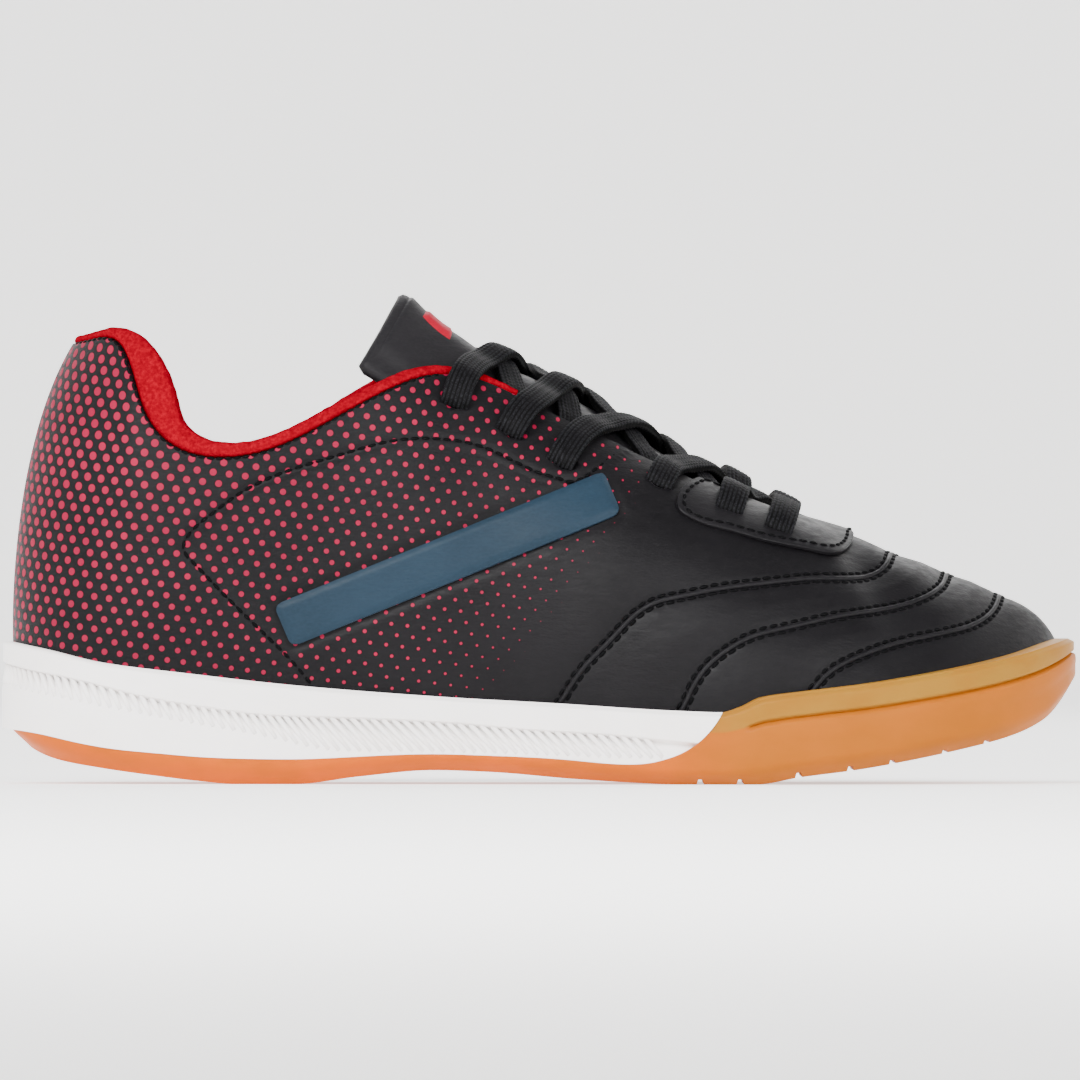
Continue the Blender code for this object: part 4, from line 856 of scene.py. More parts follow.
@dataclass
class Repeats:
    """A row of equal small shapes set along paths by Geometry Nodes.

    Each place has a direction along, a direction up and its own length. The tree's inputs are the shape's length,
    width and height, how much the lengths vary and the finish.
    """

    shape: Shape
    length: float
    width: float
    height: float
    vary: float = 0.05
    seed: int = 7
    places: list[np.ndarray] = field(default_factory=list)
    along: list[np.ndarray] = field(default_factory=list)
    up: list[np.ndarray] = field(default_factory=list)
    stretch: list[np.ndarray] = field(default_factory=list)

    def put(self, places: np.ndarray, along: np.ndarray, up: np.ndarray, stretch: np.ndarray | None = None) -> None:
        """Add places, measured from the heel, with their directions and length factors."""
        self.places.append(places - LAST.centre)
        self.along.append(along)
        self.up.append(up)
        self.stretch.append(np.ones(len(places)) if stretch is None else stretch)

    def tree(self) -> bpy.types.NodeTree:
        """The node tree: shapes on points, turned and stretched, then made real."""
        group = bpy.data.node_groups.new(f"{self.shape.value}_row", "GeometryNodeTree")
        group.interface.new_socket("Geometry", in_out="INPUT", socket_type="NodeSocketGeometry")
        for name in ("Length", "Width", "Height", "Vary"):
            group.interface.new_socket(name, in_out="INPUT", socket_type="NodeSocketFloat")
        group.interface.new_socket("Finish", in_out="INPUT", socket_type="NodeSocketMaterial")
        group.interface.new_socket("Geometry", in_out="OUTPUT", socket_type="NodeSocketGeometry")
        given = add(group, "NodeGroupInput").outputs
        if self.shape is Shape.GRAIN:
            body = add(group, "GeometryNodeMeshUVSphere", {"Segments": 8, "Rings": 6, "Radius": 0.5}).outputs[0]
        else:
            rod = add(group, "GeometryNodeMeshCylinder", {"Vertices": 10, "Radius": 0.5, "Depth": 1.0}).outputs[0]
            turn = {"Geometry": rod, "Rotation": (0.0, math.pi / 2, 0.0)}
            body = add(group, "GeometryNodeTransform", turn).outputs[0]
        vectors = [
            add(group, "GeometryNodeInputNamedAttribute", {"Name": name}, data_type="FLOAT_VECTOR").outputs[0]
            for name in ("along", "up_way")
        ]
        factor = add(group, "GeometryNodeInputNamedAttribute", {"Name": "stretch"}, data_type="FLOAT").outputs[0]
        chance = add(group, "FunctionNodeRandomValue", {"Seed": self.seed}, data_type="FLOAT")
        low = sums(group, "SUBTRACT", 1.0, given["Vary"])
        high = sums(group, "ADD", 1.0, given["Vary"])
        group.links.new(low, chance.inputs[2])
        group.links.new(high, chance.inputs[3])
        share = sums(group, "MULTIPLY", factor, chance.outputs[1])
        size = add(group, "ShaderNodeCombineXYZ", {
            "X": sums(group, "MULTIPLY", given["Length"], share), "Y": given["Width"], "Z": given["Height"],
        }).outputs[0]
        facing = add(group, "FunctionNodeAxesToRotation", {0: vectors[0], 1: vectors[1]},
                     primary_axis="X", secondary_axis="Z").outputs[0]
        points = add(group, "GeometryNodeMeshToPoints", {"Mesh": given["Geometry"]}).outputs[0]
        copies = add(group, "GeometryNodeInstanceOnPoints", {
            "Points": points, "Instance": body, "Rotation": facing, "Scale": size,
        }).outputs[0]
        real = add(group, "GeometryNodeRealizeInstances", {"Geometry": copies}).outputs[0]
        smooth = add(group, "GeometryNodeSetShadeSmooth", {"Geometry": real}).outputs[0]
        painted = add(group, "GeometryNodeSetMaterial", {"Geometry": smooth, "Material": given["Finish"]}).outputs[0]
        add(group, "NodeGroupOutput", {0: painted})
        return group

    def build(self, name: str, finish: bpy.types.Material) -> bpy.types.Object:
        """Make the row as one plain mesh.

        Args:
            name: The piece's name.
            finish: Its material.

        Returns:
            The linked object.
        """
        mesh = bpy.data.meshes.new(name)
        mesh.from_pydata(np.concatenate(self.places).tolist(), [], [])
        for title, values in (("along", self.along), ("up_way", self.up)):
            data = mesh.attributes.new(title, "FLOAT_VECTOR", "POINT")
            data.data.foreach_set("vector", np.concatenate(values).astype(np.float32).ravel())
        data = mesh.attributes.new("stretch", "FLOAT", "POINT")
        data.data.foreach_set("value", np.concatenate(self.stretch).astype(np.float32))
        made = bpy.data.objects.new(name, mesh)
        bpy.context.scene.collection.objects.link(made)
        rule = made.modifiers.new("row", "NODES")
        rule.node_group = self.tree()
        given = {
            "Length": self.length, "Width": self.width, "Height": self.height, "Vary": self.vary, "Finish": finish,
        }
        for socket in rule.node_group.interface.items_tree:
            if socket.in_out == "INPUT" and socket.name in given:
                rule[socket.identifier] = given[socket.name]
        return settle(made)


def stitch_places(line: np.ndarray, pitch: float) -> np.ndarray:
    """Where along a fine line of places the stitches fall, as places in between its points."""
    points = LAST.wall(line[:, 0], line[:, 1])
    length = travelled(points)
    want = np.arange(0.5 * pitch, length[-1], pitch)
    return np.stack([np.interp(want, length, line[:, axis]) for axis in (0, 1)], axis=-1)


@dataclass
class Stitching:
    """All the seams' threads: black bonded thread, a stitch about every 2.3 mm."""

    pitch: float = 2.33 * MM
    collar_pitch: float = 1.9 * MM
    length: float = 2.05 * MM
    width: float = 0.86 * MM
    height: float = 0.72 * MM
    overlay: float = 1.5 * MM

    def row(self, repeats: Repeats, line: np.ndarray, out: float, pitch: float) -> None:
        """Lay one row on both sides of the shoe."""
        places = stitch_places(line, pitch)
        for inner in (False, True):
            station = on_side(places[:, 0], inner)
            points = LAST.shell(station, places[:, 1], out)
            along = unit(np.gradient(points, axis=0))
            normal = LAST.normal(station, places[:, 1])
            above_rim = points[:, 2] > LAST.rim(points[:, 0]) - 0.5 * MM
            repeats.put(points[above_rim], along[above_rim], normal[above_rim])

    def build(self, thread: bpy.types.Material) -> bpy.types.Object:
        """Build every stitch of the upper."""
        repeats = Repeats(Shape.GRAIN, self.length, self.width, self.height)
        for seam in VAMP_SEAMS:
            for shift in (-0.10 * MM, ROW_GAP + 0.10 * MM):
                self.row(repeats, seam.places(shift), -0.30 * MM, self.pitch)
        self.row(repeats, Seam.QUARTER.places(), 0.12 * MM, self.pitch)
        self.row(repeats, Seam.STAY.places(), self.overlay, self.pitch)
        side = np.linspace(0.4, 5.9, 500)
        ups = np.full(len(side), 0.9985)
        self.row(repeats, np.stack([side, ups], axis=1), 0.16 * MM, self.collar_pitch)
        return repeats.build("seam_stitches", thread)


class Seam(Enum):
    """The seams of the outer side, as they run in the side view. The inner side has the same ones."""

    QUARTER = (
        (318, 693), (312, 685), (293, 662), (269, 638), (241, 611), (213, 583), (193, 562), (184, 549), (189, 535),
        (207, 518), (241, 493), (275, 476), (310, 464), (344, 454), (379, 444), (413, 439), (448, 440), (482, 447),
        (505, 457), (523, 466), (541, 474), (559, 479), (573, 482), (585, 477), (600, 466), (612, 457), (625, 449),
    )
    VAMP_BACK = (
        (553, 706), (561, 693), (574, 673), (592, 652), (609, 635), (629, 614), (654, 598), (678, 592), (712, 585),
        (747, 580), (781, 576), (815, 573), (850, 573), (871, 570), (883, 562), (889, 549),
    )
    VAMP_MIDDLE = (
        (670, 719), (678, 707), (688, 686), (705, 662), (726, 645), (753, 631), (781, 624), (815, 616), (850, 609),
        (884, 604), (912, 597), (932, 588), (942, 579), (945, 569),
    )
    VAMP_FRONT = (
        (801, 699), (809, 688), (826, 669), (850, 655), (884, 642), (919, 633), (953, 626), (979, 617), (993, 605),
        (998, 593),
    )
    STAY = (
        (716, 479), (706, 484), (694, 489), (684, 498), (682, 507), (686, 514), (700, 522), (724, 528), (752, 536),
        (781, 543), (809, 548), (830, 551), (840, 548), (846, 541), (847, 535),
    )

    def seen(self, shift: float = 0.0) -> np.ndarray:
        """The seam in the side view, moved aside to the right of its run, as a smooth fine line.

        Args:
            shift: How far to the right, in metres.

        Returns:
            Pairs of length from the heel and height.
        """
        line = smooth_line(place_seen(list(self.value)), 400)
        along = unit(np.gradient(line, axis=0))
        return line + shift * np.stack([along[:, 1], -along[:, 0]], axis=1)

    def places(self, shift: float = 0.0) -> np.ndarray:
        """The seam's stations and shares of the wall.

        The side view says little where the vamp turns level, so there the seam is led straight over the ridge.

        Args:
            shift: How far to the right of its run, in metres.

        Returns:
            Pairs of station and share of the wall.
        """
        found = LAST.unseen(self.seen(shift))
        if self is Seam.QUARTER:
            return found
        level = (found[:, 1] > 0.88) & (np.arange(len(found)) > len(found) // 2)
        last = int(np.argmax(level)) if level.any() else len(found)
        run = found[last - 16:last]
        far = LAST.wall(run[:, 0], run[:, 1])[:, 0]
        station, up = found[last - 1]
        t = np.linspace(0, 1, 61)[1:]
        slope = float(np.clip(np.polyfit(run[:, 1], far, 1)[0], -30 * MM, 30 * MM))
        along = far[-1] + slope * (1 - up) * (t - t * t / 2)
        near = np.linspace(station - 1.5, min(station + 1.5, TIP - 0.02), 300)
        tail = [(np.interp(x, LAST.wall(near, rise)[:, 0], near), rise) for x, rise in zip(along, up + (1 - up) * t)]
        return np.concatenate([found[:last], np.array(tail)])


VAMP_SEAMS = (Seam.VAMP_BACK, Seam.VAMP_MIDDLE, Seam.VAMP_FRONT)


def nearest(points: np.ndarray, line: np.ndarray) -> np.ndarray:
    """Each point's distance to the nearest point of a line."""
    tree = KDTree(len(line))
    for number, spot in enumerate(line.tolist()):
        tree.insert(spot if len(spot) == 3 else (*spot, 0.0), number)
    tree.balance()
    flat = points.reshape(-1, points.shape[-1])
    if flat.shape[1] == 2:
        flat = np.concatenate([flat, np.zeros((len(flat), 1))], axis=1)
    return np.array([tree.find(spot)[2] for spot in flat.tolist()]).reshape(points.shape[:-1])


def within(points: np.ndarray, ring: np.ndarray) -> np.ndarray:
    """Whether each point of a plane lies inside a closed ring."""
    inside = np.zeros(points.shape[:-1], bool)
    x, y = points[..., 0], points[..., 1]
    for (ax, ay), (bx, by) in zip(ring, np.roll(ring, -1, axis=0)):
        if ay != by:
            crosses = (ay > y) != (by > y)
            inside ^= crosses & (x < (bx - ax) * (y - ay) / (by - ay) + ax)
    return inside


@dataclass
class Upper:
    """The black leather upper: one shell with its quilting, seams and eyelet holes pressed in."""

    wall: float = 2.0 * MM
    columns: int = 320
    rows: int = 140
    lining_rows: int = 12
    valley: float = 0.42 * MM
    puff: float = 0.50 * MM
    panel: float = 0.40 * MM
    trench: float = 0.40 * MM
    dimple: float = 1.30 * MM
    pattern_zero: float = 60.0 * MM
    puff_reach: float = 6.0 * MM
    valley_reach: float = 1.25 * MM
    seam_line: float = 0.32 * MM
    heel_seam: float = 0.35 * MM
    crease: float = 0.16 * MM
    creases_per_m: float = 38.0
    welt: float = 0.62 * MM

    def build(self, leather: bpy.types.Material, lining: bpy.types.Material) -> bpy.types.Object:
        """Build the shell.

        Args:
            leather: The finish of the outer face.
            lining: The finish of the inner face.

        Returns:
            The upper's object.
        """
        back = int(self.columns * 0.72)
        outer = np.concatenate([
            LAST.stations(0, VAMP_STATION, back), LAST.stations(VAMP_STATION, TIP, self.columns - back)[1:]
        ])
        stations = both_sides(outer)
        draft = Draft()
        ups = np.linspace(0, 1, self.rows)[:, None]
        points = LAST.shell(stations[None, :], ups, self.relief(stations[None, :], ups))
        outside = draft.add(points, self.pattern(LAST.wall(stations[None, :], ups)))
        draft.skin(outside, wrap=True)
        ups = np.linspace(0, 1, self.lining_rows)[:, None]
        inside = draft.add(LAST.shell(stations[None, :], ups, -self.wall))
        draft.skin(inside, wrap=True, flip=True, finish=1)
        draft.skin(np.stack([inside[0], outside[0]]), wrap=True)
        self.edge(draft, stations, outside[-1], inside[-1])
        return draft.piece("upper_shell", [leather, lining])

    def relief(self, stations: np.ndarray, ups: np.ndarray) -> np.ndarray:
        """How far the face stands out or in at each place: seams, padding, panel edges, creases and holes."""
        stations, ups = np.broadcast_arrays(stations, ups)
        points = LAST.wall(stations, ups)
        side = np.minimum(stations % LOOP, LOOP - stations % LOOP)
        outer = LAST.wall(side, ups)
        seen = outer[..., [0, 2]]
        height = np.zeros(stations.shape)
        welts = []
        for seam in VAMP_SEAMS:
            places = seam.places(ROW_GAP / 2)
            welts.append(LAST.wall(places[:, 0], places[:, 1]))
        apart = nearest(outer, np.concatenate(welts))
        ahead = ease(seen[..., 0] - 0.2 * seen[..., 1], 0.105, 0.125)
        height += ahead * (self.puff * (1 - np.exp(-(apart / self.puff_reach) ** 2)) - 0.12 * MM)
        height -= self.valley * np.exp(-(apart / self.valley_reach) ** 2)
        line = Seam.QUARTER.seen()
        ring = np.concatenate([line, place_seen([(640, 380), (1120, 380), (1120, 820), (312, 820)])])
        below = within(seen, ring)
        apart = nearest(seen, line)
        signed = np.where(below, apart, -apart)
        height += self.panel * (1 - ease(signed, 0.7 * MM, 1.5 * MM))
        height -= self.seam_line * np.exp(-(signed / (0.70 * MM)) ** 2)
        height += self.band_trench(seen)
        height -= self.heel_seam * np.exp(-(points[..., 1] / (0.8 * MM)) ** 2) * (side < 1.0)
        for station, up in Laces().eyelets:
            hole = LAST.wall(station, up)
            apart = np.linalg.norm(outer - hole, axis=-1)
            height -= self.dimple * (1 - ease(apart, 1.5 * MM, 2.4 * MM))
        flat = (points * self.creases_per_m).reshape(-1, 3).tolist()
        crease = np.array([noise.noise(spot) for spot in flat]).reshape(height.shape)
        height += self.crease * crease * ease(ups, 0.0, 0.2)
        return height

    def band_trench(self, seen: np.ndarray) -> np.ndarray:
        """A narrow trench round the raised band."""
        overlays = Overlays()
        ring = overlays.spots(overlays.band_corners)
        edge = np.concatenate([
            np.linspace(a, b, 160) for a, b in zip(ring, np.roll(ring, -1, axis=0))
        ])
        apart = nearest(seen, edge)
        signed = np.where(within(seen, ring), -apart, apart)
        return -self.trench * np.exp(-(np.maximum(signed - 0.45 * MM, 0) / (0.95 * MM)) ** 2)

    def pattern(self, points: np.ndarray) -> np.ndarray:
        """Pattern places: the level way round from a place on the quarter, and the height, in millimetres."""
        half = points.shape[1] // 2 + 1
        level = points[..., :2]
        step = np.linalg.norm(np.diff(level, axis=1), axis=-1)
        length = np.concatenate([np.zeros((len(level), 1)), step.cumsum(axis=1)], axis=1)
        run = np.zeros(points.shape[:2])
        for row in range(len(level)):
            zero = np.interp(self.pattern_zero, points[row, :half, 0], length[row, :half])
            run[row, :half] = length[row, :half] - zero + self.pattern_zero
            closing = length[row, -1] + np.linalg.norm(level[row, 0] - level[row, -1])
            back = closing - length[row, half:]
            run[row, half:] = back - np.interp(
                self.pattern_zero, points[row, :half - 2:-1, 0], closing - length[row, :half - 2:-1]
            ) + self.pattern_zero
        return np.stack([run, points[..., 2]], axis=-1) / MM

    def edge(self, draft: Draft, stations: np.ndarray, outside: np.ndarray, inside: np.ndarray) -> None:
        """Close the top edge of the collar and the throat with a rounded rim."""
        outer_part = np.flatnonzero(stations <= VAMP_STATION + 1e-9)
        inner_part = np.append(np.flatnonzero(stations >= LOOP - VAMP_STATION - 1e-9), 0)
        for part in (outer_part, inner_part):
            chosen = stations[part]
            fade = ease(VAMP_STATION - np.minimum(chosen, LOOP - chosen), 0.0, 0.12)
            tangent = LAST.wall(chosen + 0.02, 1.0) - LAST.wall(chosen - 0.02, 1.0)
            beyond = unit(np.cross(LAST.normal(chosen, 1.0), tangent))
            beyond *= np.sign(np.sum(beyond * (LAST.wall(chosen, 1.0) - LAST.wall(chosen, 0.9)), 1))[:, None]
            rows = [outside[part]]
            for depth, rise in ((0.22, 0.35), (0.5, 0.5), (0.78, 0.35)):
                lift = (rise * MM * 0.5 * fade)[:, None] * beyond
                rows.append(draft.add(LAST.shell(chosen, 1.0, -depth * self.wall) + lift))
            draft.skin(np.stack([*rows, inside[part]]))

    def welts(self, leather: bpy.types.Material) -> bpy.types.Object:
        """Build the raised welts between the double rows of the vamp."""
        draft = Draft()
        turn = np.linspace(0, math.pi, 9)
        for seam in VAMP_SEAMS:
            places = seam.places(ROW_GAP / 2)[::3]
            for inner in (False, True):
                station = on_side(places[:, 0], inner)
                centre = LAST.shell(station, places[:, 1], -0.55 * MM)
                normal = LAST.normal(station, places[:, 1])
                across = unit(np.cross(np.gradient(centre, axis=0), normal))
                wide = np.cos(turn)[:, None, None] * self.welt * across
                high = np.sin(turn)[:, None, None] * self.welt * normal
                arc = draft.add(centre + wide + high)
                draft.skin(arc)
                draft.skin(np.stack([arc[-1], arc[0]]))
                for end in (0, -1):
                    draft.fan(np.concatenate([arc[:, end], arc[:1, end]]), centre[end], upright=True)
        return draft.piece("vamp_welts", [leather])


def rounded_ring(corners: np.ndarray, count: int) -> np.ndarray:
    """A closed ring with its corners rounded, evenly spaced: three rounds of corner cutting."""
    ring = corners
    for _ in range(3):
        after = np.roll(ring, -1, axis=0)
        ring = np.stack([0.75 * ring + 0.25 * after, 0.25 * ring + 0.75 * after], axis=1).reshape(-1, 3)
    closed = np.concatenate([ring, ring[:1]])
    length = travelled(closed)
    want = np.linspace(0, length[-1], count, endpoint=False)
    return np.stack([np.interp(want, length, closed[:, axis]) for axis in range(3)], axis=-1)


def refine(grid: np.ndarray, rows: int, columns: int) -> np.ndarray:
    """A fine grid through a coarse one, smooth along both its ways."""
    down = np.linspace(0, len(grid) - 1, rows)
    over = np.linspace(0, grid.shape[1] - 1, columns)
    index = np.arange(len(grid), dtype=float)
    tall = np.stack([
        np.stack([Spline(index, grid[:, j, axis])(down) for axis in range(3)], axis=-1) for j in range(grid.shape[1])
    ], axis=1)
    index = np.arange(grid.shape[1], dtype=float)
    return np.stack([
        np.stack([Spline(index, tall[i, :, axis])(over) for axis in range(3)], axis=-1) for i in range(rows)
    ], axis=0)


def rim_of(grid: np.ndarray) -> np.ndarray:
    """The places round the edge of a grid, in order."""
    return np.concatenate([grid[0, :-1], grid[:-1, -1], grid[-1, :0:-1], grid[:0:-1, 0]])


def slab(draft: Draft, top: np.ndarray, normals: np.ndarray, wall: float, places: np.ndarray | None = None) -> None:
    """Add a closed plate with a rounded edge.

    Args:
        draft: The piece.
        top: The upper face's grid of points.
        normals: Their normals.
        wall: The plate's thickness.
        places: The upper face's pattern places.
    """
    outside = draft.add(top, places)
    inside = draft.add(top - wall * normals)
    centre = top.mean(axis=(0, 1))
    edge, up = rim_of(top), rim_of(normals)
    run = unit(np.roll(edge, -1, axis=0) - np.roll(edge, 1, axis=0))
    out = unit(np.cross(run, up))
    out *= np.where(np.sum(out * (edge - centre), axis=1, keepdims=True) < 0, -1.0, 1.0)
    rings = [rim_of(outside)]
    for turn in (0.25, 0.5, 0.75):
        swell = 0.5 * wall * math.sin(turn * math.pi)
        rings.append(draft.add(edge - (0.5 - 0.5 * math.cos(turn * math.pi)) * wall * up + swell * out))
    rings.append(rim_of(inside))
    draft.skin(outside)
    draft.skin(inside, flip=True)
    draft.skin(np.stack(rings), wrap=True)


@dataclass
class Collar:
    """The red padded lining that rolls over the collar's edge."""

    pad: float = 4.6 * MM
    depth: float = 15.0 * MM
    end: float = 6.45
    columns: int = 560
    around: int = 72
    wall: float = 2.0 * MM
    lining_gap: float = 0.8 * MM
    fuzz: float = 0.14 * MM
    loops_per_m: float = 1150
    tufts_per_m: float = 520
    table: tuple[tuple[float, ...], ...] = (
        (0.0, 2.6, 0.90, 1.00), (1.0, 2.6, 0.95, 1.00), (1.8, 3.8, 1.00, 1.00), (2.4, 7.0, 1.00, 1.00),
        (2.8, 7.6, 1.00, 1.00), (3.3, 5.6, 1.00, 1.00), (4.0, 3.5, 0.80, 0.92), (4.6, 3.2, 0.46, 0.74),
        (5.2, 3.1, 0.30, 0.56), (6.0, 2.9, 0.26, 0.44), (6.45, 2.5, 0.22, 0.36),
    )

    def sizes(self, side: np.ndarray) -> tuple[np.ndarray, np.ndarray, np.ndarray]:
        """How far the roll reaches over the edge, how thick and how deep it is at each station."""
        rows = np.array(self.table)
        reach, pad, deep = (Spline(rows[:, 0], rows[:, c])(side) for c in (1, 2, 3))
        return reach * MM, pad * self.pad, deep * self.depth

    def build(self, knit: bpy.types.Material) -> bpy.types.Object:
        """Build the roll from its sections, with the knit's loops standing out."""
        side = np.concatenate([[0.0], LAST.stations(0, self.end, self.columns // 2)[1:]])
        stations = np.concatenate([LOOP - side[:0:-1], side + LOOP])
        sections = np.stack([self.section(s % LOOP) for s in stations], axis=1)
        middle = sections.mean(axis=0, keepdims=True)
        out = unit(sections - middle)
        loops = [noise.cell_vector(Vector(spot))[0] for spot in (sections * self.loops_per_m).reshape(-1, 3).tolist()]
        tufts = [noise.noise(Vector(spot)) for spot in (sections * self.tufts_per_m).reshape(-1, 3).tolist()]
        lift = 0.45 * np.array(loops).reshape(sections.shape[:2]) + np.array(tufts).reshape(sections.shape[:2])
        sections = sections + self.fuzz * lift[..., None] * out
        draft = Draft()
        grid = draft.add(sections)
        closed = np.concatenate([grid, grid[:1]], axis=0)
        draft.skin(closed)
        for column in (0, -1):
            draft.fan(closed[:, column], sections[:, column].mean(axis=0))
        return draft.piece("collar_roll", [knit], smooth=70.0)

    def section(self, station: float) -> np.ndarray:
        """The roll's outline at a station, as a smooth closed ring of points."""
        side = min(station, LOOP - station)
        edge = LAST.wall(station, 1.0)
        normal = LAST.normal(station, 1.0)
        tangent = LAST.wall(station + 0.02, 1.0) - LAST.wall(station - 0.02, 1.0)
        beyond = unit(np.cross(tangent, normal))
        beyond = beyond * np.sign(beyond @ (edge - LAST.wall(station, 0.9)))
        reach, pad, deep = (float(size) for size in self.sizes(np.array(side)))
        inside, gap = self.wall + self.lining_gap, self.lining_gap
        corners = (
            (-inside, deep), (-inside, 0.5 * deep), (-inside, -0.2 * gap), (0.1 * MM, -0.3 * gap),
            (0.5 * MM, -0.45 * reach - 0.50 * gap), (-0.7 * MM, -1.04 * reach),
            (-1.4 * MM - 0.6 * pad, -0.90 * reach), (-inside - pad, 0.12 * deep),
            (-inside - 0.92 * pad, 0.60 * deep), (-inside - 0.4 * pad, deep),
        )
        ups = np.linspace(1, 0.3, 40)
        line = LAST.wall(station, ups)
        length = travelled(line)
        ring = []
        for out, drop in corners:
            if drop > 0:
                up = float(np.interp(drop, length, ups))
                ring.append(LAST.wall(station, up) + out * LAST.normal(station, up))
            else:
                ring.append(edge + out * normal - drop * beyond)
        return rounded_ring(np.array(ring), self.around)


@dataclass
class Tongue:
    """The padded tongue, under the laces and standing free above the instep, with a plain bar near its top."""

    wall: float = 3.0 * MM
    crown: float = 6.0 * MM
    top_height: float = 104.4 * MM
    half_width: float = 16.0 * MM
    drop: float = 14.8 * MM
    lean: float = 0.60
    crowns: tuple[tuple[float, float], ...] = (
        (6.0, 1.06), (6.3, 1.00), (6.6, 0.82), (7.0, 0.42), (7.4, 0.34), (7.8, 0.24), (8.3, 0.14), (8.8, 0.05),
        (9.6, 0.0),
    )
    top_line: tuple[tuple[float, float], ...] = (
        (0.3775, 1.0), (0.384, 0.986), (0.396, 0.960), (0.410, 0.934), (0.427, 0.909),
    )

    def clearance(self, station: float) -> float:
        """How far the tongue keeps under the upper's outer face."""
        pad = 4.6 * MM * float(Spline(np.array([5.2, 6.0, 6.45]), np.array([0.26, 0.20, 0.18]))(station))
        lined, bare = 2.8 * MM + pad + 1.26 * MM, 2.9 * MM
        return lined + (bare - lined) * min(max((station - 6.45) / 0.4, 0.0), 1.0)

    def point(self, station: float, across: np.ndarray | float) -> np.ndarray:
        """A point of the top face between the throat's edges, from the outer side to the inner."""
        depth = -self.clearance(station)
        left, right = LAST.shell(station, 1.0, depth), LAST.shell(LOOP - station, 1.0, depth)
        rows = np.array(self.crowns)
        rise = float(Spline(rows[:, 0], rows[:, 1])(station)) * self.crown
        return (1 - across) * left + across * right + rise * (1 - (2 * across - 1) ** 2) * TONGUE_UP

    def row(self, station: float) -> np.ndarray:
        """Points across the tongue: under each side's edge, with the crown between them."""
        depth = -self.clearance(station)
        if station > VAMP_STATION - 0.15:
            ups = np.array([0.80, 0.86, 0.915, 0.965])
            left, right = LAST.shell(station, ups, depth), LAST.shell(LOOP - station, ups[::-1], depth)
            return np.concatenate([left, self.point(station, 0.5)[None], right])
        ups = np.array([0.80, 0.90, 1.0])
        left, right = LAST.shell(station, ups, depth), LAST.shell(LOOP - station, ups[::-1], depth)
        middle = np.array([self.point(station, across) for across in (0.25, 0.5, 0.75)])
        return np.concatenate([left, middle, right])

    def grid(self) -> np.ndarray:
        """The top face's coarse grid, from the free top down to the toe end."""
        throat = [self.row(s) for s in (6.30, 6.6, 7.0, 7.4, 7.8, 8.2, 8.6, 8.9, 9.2, 9.5)]
        base = throat[0]
        spread_out = np.linspace(-1, 1, len(base))
        free = []
        for i, (along, height) in enumerate(self.top_line):
            along, height = along * SOLE_LENGTH, height * self.top_height
            share = 1 - i / len(self.top_line)
            drop = self.drop * np.abs(spread_out) ** 1.8
            top = np.stack([along - self.lean * drop, spread_out * self.half_width, height - drop], axis=1)
            low = base + np.array([along, 0, height]) - base[len(base) // 2] * [1, 0, 1]
            free.append(share * top + (1 - share) * low)
        return np.array(free + throat)

    def fine(self) -> tuple[np.ndarray, np.ndarray]:
        """The fine grid of the top face and its normals."""
        grid = refine(self.grid(), 190, 70)
        return grid, unit(np.cross(np.gradient(grid, axis=0), np.gradient(grid, axis=1)))

    def build(self, leather: bpy.types.Material) -> bpy.types.Object:
        """Build the tongue as one padded plate, with an edge seam pressed in."""
        grid, normals = self.fine()
        rows = np.linspace(0, 1, len(grid))[:, None]
        columns = np.linspace(-1, 1, grid.shape[1])[None, :]
        edge = np.minimum((1 - np.abs(columns)) * 16, rows * 88)
        pad = 0.55 * MM * ease(edge, 0.6, 4.0) - 0.12 * MM * np.exp(-((edge - 1.9) / 0.5) ** 2)
        spots = [noise.noise(Vector(spot)) for spot in (grid * 60).reshape(-1, 3).tolist()]
        pad = pad + 0.18 * MM * np.array(spots).reshape(pad.shape)
        draft = Draft()
        slab(draft, grid + pad[..., None] * normals, normals, self.wall)
        return draft.piece("tongue_padded", [leather], smooth=60.0)

    def label(self, finish: bpy.types.Material) -> bpy.types.Object:
        """Build the plain raised bar near the top."""
        grid, normals = self.fine()
        rows, columns = slice(24, 49), slice(27, 43)
        top, normals = grid[rows, columns], normals[rows, columns]
        height, width = top.shape[:2]
        far = np.minimum.outer(
            np.minimum(np.arange(height), np.arange(height)[::-1]) * 0.6,
            np.minimum(np.arange(width), np.arange(width)[::-1]) * 0.6,
        )
        puff = 0.45 * MM + 0.45 * MM * ease(far, 0, 1.4)
        draft = Draft()
        slab(draft, top + puff[..., None] * normals, normals, 0.9 * MM)
        return draft.piece("tongue_bar", [finish], smooth=60.0)


